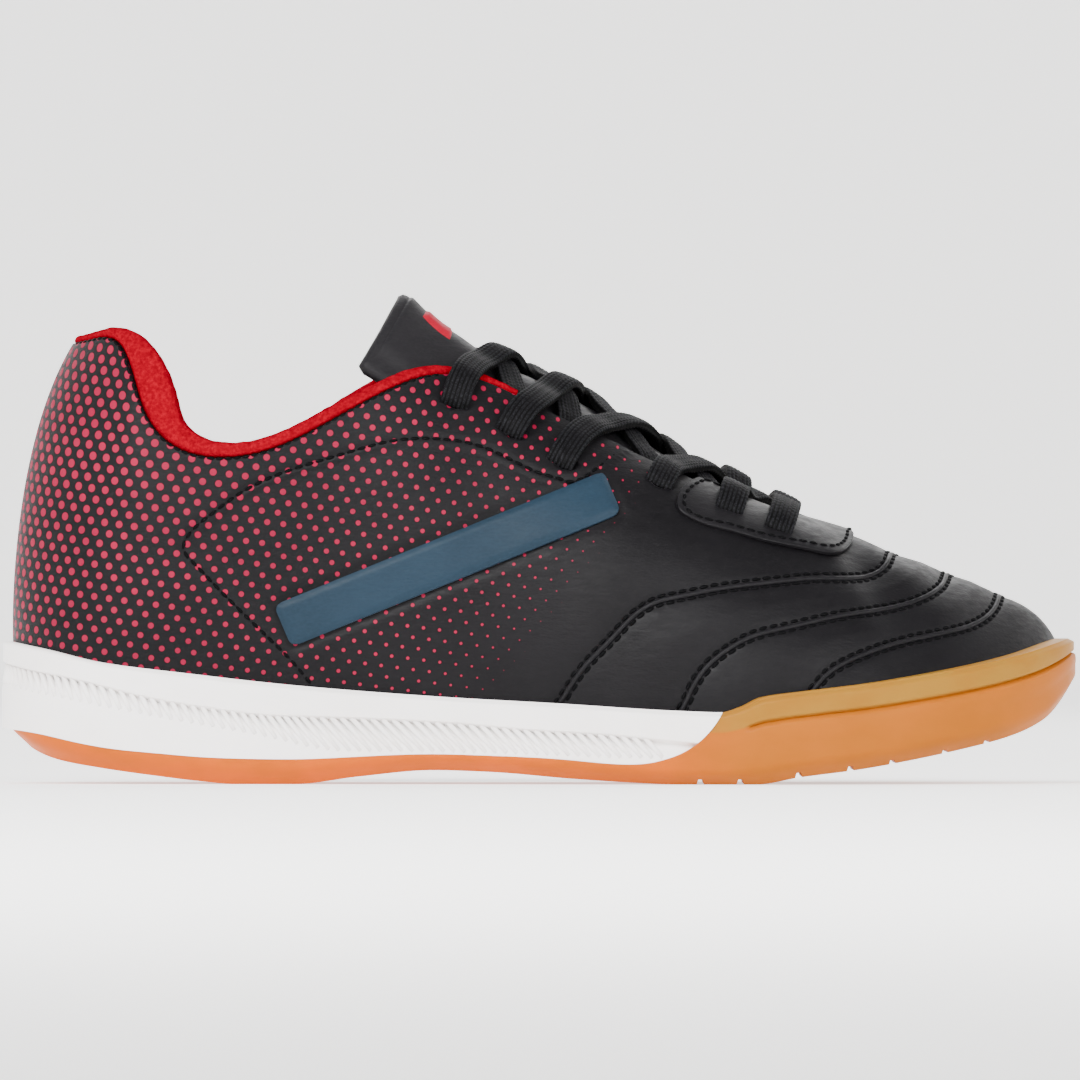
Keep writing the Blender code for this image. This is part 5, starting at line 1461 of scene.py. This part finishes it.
@dataclass
class Laces:
    """Flat braided laces: five crossings and a bar at the toe end."""

    width: float = 6.4 * MM
    thickness: float = 1.9 * MM
    ridge: float = 0.914 * MM
    plait: float = 1.15 * MM
    relief: float = 0.34 * MM
    step: float = 0.10
    overlay: float = 1.5 * MM
    turn_in: float = 3.6 * MM
    dive: float = 1.6 * MM
    cross_over: float = 2.0 * MM
    around: int = 68
    spacing: float = 0.24 * MM
    squeeze: float = 0.22
    wave: float = 9 * MM
    eyelets: tuple[tuple[float, float], ...] = (
        (6.0125, 0.893), (6.417, 0.831), (6.733, 0.782), (7.445, 0.872), (7.987, 0.833), (8.4005, 0.790),
    )
    edges: tuple[float, ...] = (6.09, 6.56, 6.92, 7.53, 8.10, 8.60)

    def over(self, station: float) -> float:
        """How high a lace's middle lies over the upper."""
        stay = float(np.clip((station - 7.7) / 0.2, 0, 1)) * self.overlay
        lining = float(np.clip((6.75 - station) / 0.3, 0, 1)) * 0.8 * MM
        return self.thickness / 2 + 0.35 * MM + stay + lining

    def start(self, number: int, inner: bool) -> list[np.ndarray]:
        """The route's first points: out of the eyelet, up along the wall and over the edge."""
        station, up = self.eyelets[number]
        edge = self.edges[number]
        lift = self.over(station)
        back = station - 0.018 * (edge - station) / 0.08
        low = up - 0.012
        return [
            LAST.shell(on_side(back, inner), low, -self.dive),
            LAST.shell(on_side(back, inner), low, 0.55 * lift),
            LAST.shell(on_side(0.72 * station + 0.28 * edge, inner), 0.68 * up + 0.32, lift + 0.35 * MM),
            LAST.shell(on_side(edge, inner), 1.0, lift + 0.1 * MM),
        ]

    def route(self, number: int, lower: float, inner: bool, extra: float) -> tuple[np.ndarray, list[np.ndarray]]:
        """From an eyelet over the edge and the tongue, to under the edge on the other side.

        Args:
            number: The eyelet, from the instep down.
            lower: The station of the far edge.
            inner: Whether the lace starts on the inner side.
            extra: What the strand adds where it crosses over.

        Returns:
            The route's points, and the broad side's normals at its start, middle and end.
        """
        tongue = Tongue()
        station, up = self.eyelets[number]
        edge = self.edges[number]
        start, far = (LOOP - station, lower) if inner else (station, LOOP - lower)
        route = self.start(number, inner)
        base = self.thickness / 2 + 0.75 * MM
        for t in (0.26, 0.5, 0.76):
            between = (1 - t) * edge + t * lower
            rise = base + extra * (1 - (2 * t - 1) ** 2)
            route.append(tongue.point(between, 1 - t if inner else t) + rise * TONGUE_UP)
        route.append(LAST.shell(far, 1.0, -self.dive))
        route.append(LAST.shell(far, 0.95, -2.6 * MM))
        ends = [LAST.normal(start, up), TONGUE_UP, 0.5 * LAST.normal(far, 0.98) + 0.5 * TONGUE_UP]
        return np.array(route), ends

    def strand(self, draft: Draft, route: np.ndarray, ends: list[np.ndarray], holes: int = 1) -> None:
        """Add one flat strand along a route, its ridges plaited in relief.

        Args:
            draft: What the strand is added to.
            route: A few points that it passes.
            ends: The broad side's normals at its start, middle and end.
            holes: How many of its ends dive into an eyelet.
        """
        length = np.linalg.norm(np.diff(route, axis=0), axis=1).sum()
        count = int(length / self.spacing)
        path = smooth_line(route, count)
        t = np.linspace(0, 2, count)[:, None]
        broad = np.where(t < 1, (1 - t) * ends[0] + t * ends[1], (2 - t) * ends[1] + (t - 1) * ends[2])
        run = np.linspace(0, length, count)[:, None]
        for place, travel in ((run, route[1] - route[2]), (length - run, route[-2] - route[-3]))[:holes]:
            bent = ease(place, 0.6 * MM, self.turn_in)
            broad = (1 - bent) * unit(travel) + bent * broad
        along = unit(np.gradient(path, axis=0))
        normal = unit(broad - np.sum(broad * along, axis=1, keepdims=True) * along)
        across = np.cross(along, normal)
        turn = np.linspace(0, 2 * math.pi, self.around, endpoint=False)
        wide = np.sign(np.cos(turn)) * np.abs(np.cos(turn)) ** 0.80 * self.width / 2
        high = np.sign(np.sin(turn)) * np.abs(np.sin(turn)) ** 0.50 * self.thickness / 2
        flat = wide.copy()
        lane = wide[None, :] / self.ridge + 3.5
        within_lane = lane - np.floor(lane)
        lean = np.where(np.floor(lane) % 2 == 0, 1.0, -1.0) * np.abs(within_lane - 0.5)
        knots = 0.5 + 0.5 * np.cos(2 * math.pi * (run / self.plait + 0.55 * lean + 0.5 * (np.floor(lane) % 2)))
        swell = np.sqrt(np.clip(1 - (2 * within_lane - 1) ** 2, 0, 1)) * (0.72 + 0.28 * knots)
        grow = self.relief * (swell - 0.5)
        squeeze = 1 - self.squeeze * ease(1.8 * MM - run, 0.0, 1.8 * MM)
        away = np.stack([np.broadcast_to(np.sign(wide) * (np.abs(np.cos(turn)) > 0.9), grow.shape),
                         np.broadcast_to(np.sign(high), grow.shape)], axis=-1)
        wide = wide[None, :] * squeeze + grow * away[..., 0]
        high = high[None, :] * (1 + 0.10 * np.cos(2 * math.pi * run / self.wave)) + grow * away[..., 1]
        rings = path[:, None] + wide[..., None] * across[:, None] + high[..., None] * normal[:, None]
        grid = draft.add(rings, np.stack(np.broadcast_arrays(flat[None, :], run), axis=-1) / MM)
        draft.skin(grid, wrap=True)
        for row in (0, -1):
            draft.fan(np.concatenate([grid[row], grid[row][:1]]), path[row])

    def build(self, braid: bpy.types.Material) -> list[bpy.types.Object]:
        """Build the crossings and the bar."""
        made = []
        for number in range(len(self.eyelets) - 1):
            lower = self.edges[number + 1] - self.step
            draft = Draft()
            self.strand(draft, *self.route(number, lower, False, self.cross_over))
            self.strand(draft, *self.route(number, lower, True, 0.1 * MM))
            made.append(draft.piece(f"braid_cross_{number + 1}", [braid], smooth=75.0))
        last = len(self.eyelets) - 1
        station, up = self.eyelets[last]
        edge = self.edges[last]
        tongue = Tongue()
        middle = tongue.point(edge, 0.5) + (self.thickness / 2 + 1.4 * MM) * TONGUE_UP
        outer, inner = self.start(last, False), self.start(last, True)
        normal = LAST.normal(station, up)
        draft = Draft()
        self.strand(draft, np.array([*outer, middle, *inner[::-1]]), [normal, TONGUE_UP, normal * [1, -1, 1]], holes=2)
        made.append(draft.piece("braid_bar", [braid], smooth=75.0))
        return made


@dataclass
class CuppedSole:
    """A sole that holds the upper's foot: a shaped side, a rim and a flat bed inside."""

    stations: np.ndarray
    floor: Spline
    out: Callable[[np.ndarray, np.ndarray, np.ndarray], np.ndarray]
    cup_gap: float = 0.5 * MM
    rows: int = 64

    def body(self) -> Draft:
        """The closed body. Its side stands out as its own rule says, by length, height and share down."""
        stations = both_sides(self.stations)
        rim = LAST.rim_share(stations)
        inner = np.linspace(0, 1, 9)[:, None]
        cup = LAST.shell(stations[None], inner * rim[None], self.cup_gap)
        cup[0, :, 2] = LAST.bed(cup[0, :, 0])
        top = cup[-1, :, 2]
        downs = np.linspace(0, 1, self.rows)[:, None]
        plan = LAST.outline(stations)[None]
        side = np.repeat(plan, self.rows, axis=0)
        low = self.floor(side[..., 0])
        side[..., 2] = top[None] - downs * (top[None] - low)
        out = self.out(side[..., 0], side[..., 2], np.broadcast_to(downs, side.shape[:2]))
        side = side + out[..., None] * LAST.outward(stations)[None]
        points = np.concatenate([cup, side])
        share = np.concatenate([np.zeros((9, 1)), downs]) * np.ones((1, len(stations)))
        draft = Draft()
        grid = draft.add(points, np.stack([points[..., 0] / MM, share], axis=-1))
        draft.skin(grid, wrap=True)
        self.plate(draft, grid[0], False)
        self.plate(draft, grid[-1], True)
        return draft

    def plate(self, draft: Draft, ring: np.ndarray, flip: bool) -> None:
        """Join the two sides of a closed ring across the shoe."""
        count = len(self.stations)
        total = len(ring)
        draft.skin(np.stack([ring[:count], ring[(total - np.arange(count)) % total]]), flip=flip)


def seam_edge(distance: float) -> np.ndarray:
    """The line where midsole and outsole meet, moved up by a distance, as a fine run of points."""
    line = smooth_line(SEAM * [SOLE_LENGTH, MM], 260)
    along = unit(np.gradient(line, axis=0))
    moved = line + distance * np.stack([-along[:, 1], along[:, 0]], axis=1)
    return np.concatenate([[[-0.02, moved[0, 1]]], moved[1:], [[moved[-1, 0], 0.09]]])


def cut_away(made: bpy.types.Object, profiles: list[np.ndarray], half: float = 0.09) -> None:
    """Cut blocks out of a body, each one a profile seen from the side and run right across the shoe.

    Args:
        made: The body.
        profiles: Closed rings of length from the heel and height.
        half: How far each block reaches to either side.
    """
    block = bmesh.new()
    for profile in profiles:
        ring = np.stack([profile[:, 0], np.zeros(len(profile)), profile[:, 1]], axis=1) - LAST.centre
        sides = [[block.verts.new(p + [0, y, 0]) for p in ring] for y in (-half, half)]
        for i in range(len(ring)):
            j = (i + 1) % len(ring)
            block.faces.new((sides[0][i], sides[0][j], sides[1][j], sides[1][i]))
        for side in sides:
            block.faces.new(side)
    bmesh.ops.recalc_face_normals(block, faces=block.faces)
    mesh = bpy.data.meshes.new("cutter")
    block.to_mesh(mesh)
    block.free()
    cutter = bpy.data.objects.new("cutter", mesh)
    bpy.context.scene.collection.objects.link(cutter)
    step = made.modifiers.new("cut", "BOOLEAN")
    step.operation, step.solver, step.object = "DIFFERENCE", "EXACT", cutter
    settle(made)
    bpy.data.objects.remove(cutter)


@dataclass
class Sole:
    """The white foam wedge, the gum rubber under and in front of it, and the liner on the footbed."""

    gap: float = 0.3 * MM
    insole_thickness: float = 3.5 * MM
    upper_inset: float = 4.9 * MM
    groove_depth: float = 1.9 * MM
    seam_gap: float = 0.03 * MM
    toe_tuck: float = 1.4 * MM
    side_tuck: float = 4.8 * MM
    rib_pitch: float = 2.24 * MM
    rib_width: float = 1.10 * MM
    rib_height: float = 1.5 * MM
    rib_end: float = 0.1415
    tread_width: float = 1.3 * MM
    tread_depth: float = 1.1 * MM
    tread_grooves: tuple[float, ...] = (0.649, 0.686, 0.740, 0.788, 0.827, 0.876, 0.915)
    groove_line: tuple[tuple[float, float], ...] = (
        (1, 664), (7, 666), (79, 681), (148, 698), (213, 709), (275, 716), (340, 718), (447, 723), (527, 730),
        (608, 735), (675, 742), (720, 746),
    )
    rib_foot: tuple[tuple[float, float], ...] = (
        (1, 684), (7, 686), (34, 693), (103, 707), (193, 724), (240, 732), (275, 739), (310, 747), (340, 751),
        (447, 752), (554, 755), (635, 758), (664, 758), (720, 758),
    )

    def line(self, table: tuple[tuple[float, float], ...]) -> Spline:
        """A height along the shoe, from places in the side view."""
        seen = place_seen(list(table))
        return Spline(seen[:, 0], seen[:, 1], level=True)

    def foam_side(self, along: np.ndarray, height: np.ndarray, down: np.ndarray) -> np.ndarray:
        """The foam's side: a round lip over a groove, a ribbed slope, and a smooth band that thins out."""
        groove, foot = self.line(self.groove_line)(along), self.line(self.rib_foot)(along)
        rim = LAST.rim(along)
        lip = -1.1 * MM * (1 - ease(rim - height, 0.0, 1.5 * MM)) ** 2 - 0.25 * MM * ease(rim - height, 3 * MM, 9 * MM)
        under = np.clip((groove - height) / np.maximum(groove - foot, 1 * MM), 0, 1.4)
        slope = -self.groove_depth * (1 - ease(under, 0.0, 1.0)) - 0.15 * MM
        step = ease(groove - height, -0.45 * MM, 0.55 * MM)
        out = (1 - step) * lip + step * slope
        swell = ease(foot - height, -0.4 * MM, 1.0 * MM) * ease(68 * MM - along, -4 * MM, 10 * MM)
        foot_in = -0.5 * MM * ease(down, 0.88, 1.0)
        return out + 0.35 * MM * swell + foot_in * (along < 0.12)

    def gum_side(self, along: np.ndarray, height: np.ndarray, down: np.ndarray) -> np.ndarray:
        """The gum's side: a round lip, a fine groove round the toe and a curve under to the tread, at any height."""
        out = -1.2 * MM * (1 - ease(down, 0.0, 0.09)) ** 1.5 - 0.3 * MM * (1 - ease(down, 0.30, 0.55))
        start = ease(along, 0.1590, 0.1600)
        out = out - 1.0 * MM * start * np.exp(-((down - 0.295) / 0.022) ** 2)
        out = out + 0.25 * MM * start * ease(down, 0.31, 0.36) * (1 - ease(down, 0.40, 0.60))
        tuck = self.side_tuck - (self.side_tuck - self.toe_tuck) * ease(along, 0.200, 0.229)
        return out - tuck * ease(down, 0.72, 1.06) ** 1.8

    def midsole(self, foam: bpy.types.Material) -> bpy.types.Object:
        """Build the foam wedge."""
        stations = LAST.stations(0, 8.4, 300)
        low = Spline(SEAM[:SEAM_CLIMB, 0] * SOLE_LENGTH, SEAM[:SEAM_CLIMB, 1] * MM - 2 * MM, level=True)
        made = CuppedSole(stations, low, self.foam_side).body().piece("foam_wedge", [foam])
        line = seam_edge(self.seam_gap)
        far = SOLE_LENGTH + 0.02
        cut_away(made, [np.concatenate([line, [[far, 0.09], [far, -0.03], [-0.02, -0.03]]])])
        return made

    def ribs(self, foam: bpy.types.Material) -> bpy.types.Object:
        """Build the slanted ribs of the foam's side."""
        repeats = Repeats(Shape.BAR, length=1.0, width=self.rib_width, height=self.rib_height, vary=0.0)
        fine = np.linspace(0, 8.0, 3000)
        length = travelled(LAST.outline(fine))
        feet = np.interp(np.arange(0.5 * self.rib_pitch, length[-1], self.rib_pitch), length, fine)
        groove, foot = self.line(self.groove_line), self.line(self.rib_foot)
        seam = Spline(SEAM[:SEAM_CLIMB, 0] * SOLE_LENGTH, SEAM[:SEAM_CLIMB, 1] * MM)
        for inner in (False, True):
            place = LAST.outline(feet)[:, 0]
            tall = groove(place) - foot(place)
            lean = tall * (0.62 + 0.42 * ease(place, 0.04, 0.10))
            tops = np.interp(np.interp(feet, fine, length) - lean, length, fine)
            ends = []
            for stations, rise, out in ((feet, 0.2 * MM, -0.62 * MM), (tops, 0.2 * MM, -1.25 * MM)):
                turned = on_side(stations, inner) % LOOP
                points = LAST.outline(turned) + out * LAST.outward(turned)
                points[:, 2] = foot(place) + rise if stations is feet else groove(points[:, 0]) + rise
                ends.append(points)
            low, high = ends
            turned = on_side(feet, inner) % LOOP
            clear = (low[:, 2] > seam(low[:, 0])) & (place < self.rib_end)
            span = np.linalg.norm(high - low, axis=1)
            middle = (low + high) / 2
            repeats.put(middle[clear], unit(high - low)[clear], LAST.outward(turned)[clear], span[clear])
        return repeats.build("foam_ribs", foam)

    def outsole(self, gum: bpy.types.Material) -> bpy.types.Object:
        """Build the gum rubber, with its tread."""
        stations = LAST.stations(0, TIP, 340)
        made = CuppedSole(stations, LAST.tread, self.gum_side, rows=72).body().piece("gum_cup", [gum])
        cut_away(made, [np.concatenate([seam_edge(0.0), [[-0.02, 0.09]]])])
        cut_away(made, [self.groove(share * SOLE_LENGTH) for share in self.tread_grooves])
        return made

    def groove(self, middle: float) -> np.ndarray:
        """The profile of one groove across the tread, wider at its mouth."""
        half, deep = self.tread_width / 2, self.tread_depth
        corners = ((-1.3 * half, -3.0), (-1.3 * half, -0.2), (-0.7 * half, 1.0), (0.7 * half, 1.0),
                   (1.3 * half, -0.2), (1.3 * half, -3.0))
        return np.array([(middle + x, float(LAST.tread(middle + x)) + z * deep) for x, z in corners])

    def insole(self, textile: bpy.types.Material) -> bpy.types.Object:
        """Build the liner on the footbed."""
        stations = LAST.stations(0, TIP, 160)
        ring = LAST.outline(both_sides(stations))
        out = LAST.outward(both_sides(stations))
        draft = Draft()
        rows = []
        for inset, rise in ((0.0, 0.0), (0.0, 0.55), (0.15, 0.86), (0.5, 1.0)):
            points = ring - (self.upper_inset + inset * MM) * out
            points[:, 2] = LAST.bed(points[:, 0]) + self.gap + rise * self.insole_thickness
            rows.append(draft.add(points))
        draft.skin(np.stack(rows), wrap=True)
        holder = CuppedSole(stations, LAST.bed, self.foam_side)
        holder.plate(draft, rows[0], True)
        holder.plate(draft, rows[-1], False)
        return draft.piece("foot_liner", [textile])


@dataclass
class Overlays:
    """The pieces on the upper: the stay round the front of the throat and the plain raised quarter bands."""

    gap: float = 0.6 * MM
    wall: float = 0.9 * MM
    corner: float = 1.8 * MM
    stay_edge: tuple[tuple[float, float], ...] = (
        (714, 477), (703, 480), (688, 486), (676, 499), (677, 512), (687, 520), (702, 527), (724, 533), (752, 541),
        (781, 548), (809, 553.5), (832, 557), (845, 553), (852, 545), (853, 540),
    )
    band_corners: tuple[tuple[float, float], ...] = (
        (0.2535, 0.437), (0.270, 0.335), (0.5757, 0.660), (0.559, 0.762),
    )
    instep_height: float = 87.4 * MM

    def spots(self, table: tuple[tuple[float, float], ...]) -> np.ndarray:
        """Places in the side view, in metres."""
        return np.array(table) * [SOLE_LENGTH, self.instep_height]

    def stay(self, leather: bpy.types.Material) -> bpy.types.Object:
        """Build the stay: one bent plate over both sides and the ridge, with a rounded edge."""
        line = smooth_line(place_seen(list(self.stay_edge)), 150)
        outer = LAST.unseen(line)
        tops = np.interp(np.arange(150), (0, 34, 108, 149), (7.76, 8.0, VAMP_STATION, 9.52))
        tops[108] = VAMP_STATION
        steps = np.concatenate([[0.0, 0.0, 0.012, 0.03], np.linspace(0.06, 1, 36)])[:, None]
        lifts = np.array([0.30, 0.72, 0.93, 1.0] + [1.0] * 36)[:, None] * self.wall
        stations = outer[:, 0] + steps * (tops - outer[:, 0])
        ups = outer[:, 1] + steps * (1 - outer[:, 1])
        draft = Draft()
        for inner in (False, True):
            place = on_side(stations, inner)
            closed = (stations >= VAMP_STATION - 1e-6) & (ups > 1 - 1e-9)
            faces = []
            for out in (self.gap + lifts, np.full_like(lifts, self.gap)):
                points = LAST.shell(place, ups, np.broadcast_to(out, ups.shape))
                twin = LAST.shell(LOOP - place, ups, np.broadcast_to(out, ups.shape))
                points = np.where(closed[..., None], (points + twin) / 2, points)
                faces.append(draft.add(points))
            outside, inside = faces
            draft.skin(outside)
            draft.skin(inside)
            draft.skin(np.stack([outside[0], inside[0]]))
            draft.skin(np.stack([outside[:, 0], inside[:, 0]]))
            draft.skin(np.stack([outside[:, -1], inside[:, -1]]))
            draft.skin(np.stack([outside[-1, :109], inside[-1, :109]]))
        return draft.piece("stay_front", [leather])

    def band(self, name: str, inner: bool, leather: bpy.types.Material) -> bpy.types.Object:
        """Build one side's plain raised band, with rounded corners and a puffed face."""
        corners = self.spots(self.band_corners)
        long = np.linalg.norm(corners[3] - corners[0])
        wide = np.linalg.norm(corners[1] - corners[0])
        t, s = np.linspace(0, 1, 190)[None, :], np.linspace(0, 1, 36)[:, None]
        rim = np.minimum(s, 1 - s) * wide
        cut = np.where(rim < self.corner, self.corner - np.sqrt(
            np.clip(self.corner**2 - (self.corner - rim) ** 2, 0, None)), 0) / long
        t = cut + t * (1 - 2 * cut)
        s = np.broadcast_to(s, t.shape)
        start = (1 - s)[..., None] * corners[0] + s[..., None] * corners[1]
        end = (1 - s)[..., None] * corners[3] + s[..., None] * corners[2]
        seen = (1 - t)[..., None] * start + t[..., None] * end
        places = LAST.unseen(seen.reshape(-1, 2)).reshape(seen.shape)
        station = on_side(places[..., 0], inner)
        border = np.minimum(np.minimum(s, 1 - s) * wide, np.minimum(t, 1 - t) * long)
        puff = self.wall * (0.25 + 0.75 * np.sqrt(ease(border, -0.1 * MM, 1.7 * MM)))
        draft = Draft()
        outside = draft.add(LAST.shell(station, places[..., 1], 0.15 * MM + puff))
        inside = draft.add(LAST.shell(station, places[..., 1], -0.4 * MM))
        draft.skin(outside)
        draft.skin(inside, flip=True)
        draft.skin(np.stack([rim_of(outside), rim_of(inside)]), wrap=True)
        return draft.piece(name, [leather])


@dataclass
class Studio:
    """A plain pale floor and backdrop, soft lights and the camera at the photograph's angle.

    The camera's width is true at the level y = side, halfway between the shoe's outer side and its middle. Each
    lamp has a name, a place, a size in metres and a power in watts.
    """

    distance: float = 6.0
    view_width: float = 230.65 * MM
    view_centre: tuple[float, float] = (0.1 * MM, 52.1 * MM)
    side: float = -21.0 * MM
    floor: float = 6.8
    bend: float = 2.4
    wall: float = 8.0
    surround: float = 0.6
    lamps: tuple[tuple[str, tuple[float, float, float], float, float], ...] = (
        ("key", (-0.9, -1.9, 1.6), 1.2, 105.0),
        ("fill", (1.2, -1.9, 0.9), 1.1, 24.0),
        ("back", (0.1, 1.8, 1.6), 1.3, 20.0),
    )

    def camera(self) -> None:
        """Set the long lens square to the outer side."""
        lens = bpy.data.cameras.new("camera")
        lens.sensor_width = 36.0
        lens.lens = 36.0 * (self.distance + self.side) / self.view_width
        lens.clip_end = 50.0
        made = bpy.data.objects.new("camera", lens)
        made.location = (self.view_centre[0], -self.distance, self.view_centre[1])
        made.rotation_euler = (math.pi / 2, 0, 0)
        bpy.context.scene.collection.objects.link(made)
        bpy.context.scene.camera = made

    def ground(self, paint: bpy.types.Material) -> None:
        """Lay the floor, which curves up into a round wall beyond every camera's place."""
        draft = Draft()
        bend = np.linspace(0, math.pi / 2, 12)[1:]
        radii = [0.3, 1.0, 2.0, self.floor] + [self.floor + self.bend * math.sin(a) for a in bend]
        heights = [0.0] * 4 + [self.bend * (1 - math.cos(a)) for a in bend]
        profile = np.array([*zip(radii, heights), (self.floor + self.bend, self.wall)])
        turn = np.linspace(0, 2 * math.pi, 96, endpoint=False)
        far, high = profile[:, :1], profile[:, 1:]
        rings = np.stack([far * np.cos(turn), far * np.sin(turn), np.repeat(high, len(turn), axis=1)], axis=-1)
        grid = draft.add(rings + LAST.centre)
        middle = draft.add(LAST.centre[None])
        draft.skin(np.concatenate([np.full((1, len(turn)), middle[0]), grid]), wrap=True)
        draft.piece("floor_sweep", [paint], smooth=80.0)

    def light(self) -> None:
        """Hang large soft lights and a pale surround."""
        for name, place, size, power in self.lamps:
            lamp = bpy.data.lights.new(name, "AREA")
            lamp.size, lamp.energy = size, power
            made = bpy.data.objects.new(name, lamp)
            made.location = place
            made.rotation_euler = (Vector((0, 0, 0.04)) - Vector(place)).to_track_quat("-Z", "Y").to_euler()
            made.visible_camera = False
            bpy.context.scene.collection.objects.link(made)
        world = bpy.data.worlds.new("surround")
        world.use_nodes = True
        world.node_tree.nodes["Background"].inputs["Color"].default_value = (1, 1, 1, 1)
        world.node_tree.nodes["Background"].inputs["Strength"].default_value = self.surround
        bpy.context.scene.world = world


def main() -> None:
    """Build the shoe, piece by piece, and its studio."""
    logging.basicConfig(level=logging.INFO, format="%(message)s")
    studio = Studio()
    studio.camera()
    studio.light()
    studio.ground(MattPaint().material())
    # Each leather's second colour gives its paler random clouds and the painted highlight on its grain ridges.
    dotted = Leather("upper_pu_leather", "#0b0a0c", "#121113", dots=True).material()
    plain = Leather("stay_pu_leather", "#0f0e10", "#171618", grain=0.5).material()
    tongue_coat = Leather("tongue_pu_leather", "#171618", "#201f21", grain=0.5).material()
    slate = Leather("band_pu_leather", "#16242f", "#1d2d3a", roughness=0.42, grain=0.6).material()
    # The knit's second colour is the painted highlight on its loop tops and the tint of its sheen.
    knit = Knit("collar_knit", "#7a0012", "#8e0018").material()
    bar = Leather("bar_pu_leather", "#82041c", "#940c28", roughness=0.5, grain=0.5).material()
    # Each cloth's second colour is the painted highlight on its raised threads.
    cloth = Woven("lining_cloth", "#4a0410", "#6c0a1a").material()
    footbed = Woven("footbed_cloth", "#48484e", "#5e5e64").material()
    foam = Foam().material()
    gum = Gum().material()
    # Each thread's second colour is a painted highlight on its raised fibres, and on the lace's plait ridges.
    braid = Thread("lace_cotton", "#070708", "#1e1e21", roughness=0.6, ridged=True).material()
    thread = Thread("seam_thread", "#020203", "#080809", roughness=0.6).material()
    upper = Upper()
    mount(upper.build(dotted, cloth), "upper_leather", "upper")
    mount(upper.welts(plain), "upper_leather", "upper")
    mount(Stitching().build(thread), "upper_leather", "upper")
    mount(Collar().build(knit), "lining_textile", "collar_cuff")
    tongue = Tongue()
    mount(tongue.build(tongue_coat), "tongue_leather", "tongue")
    mount(tongue.label(bar), "tongue_leather", "tongue")
    names = [f"lace_cross_{number}" for number in range(1, 6)] + ["lace_bar"]
    for strand, node in zip(Laces().build(braid), names):
        mount(strand, "lace_braid", node)
    sole = Sole()
    mount(sole.midsole(foam), "midsole_foam", "midsole")
    mount(sole.ribs(foam), "midsole_foam", "midsole")
    mount(sole.outsole(gum), "outsole_gum", "outsole")
    mount(sole.insole(footbed), "insole_textile", "insole")
    overlays = Overlays()
    mount(overlays.stay(plain), "stay_leather", "vamp_stay")
    mount(overlays.band("band_outer", False, slate), "band_leather", "quarter_band_outer")
    mount(overlays.band("band_inner", True, slate), "band_leather", "quarter_band_inner")


if __name__ == "__main__":
    main()
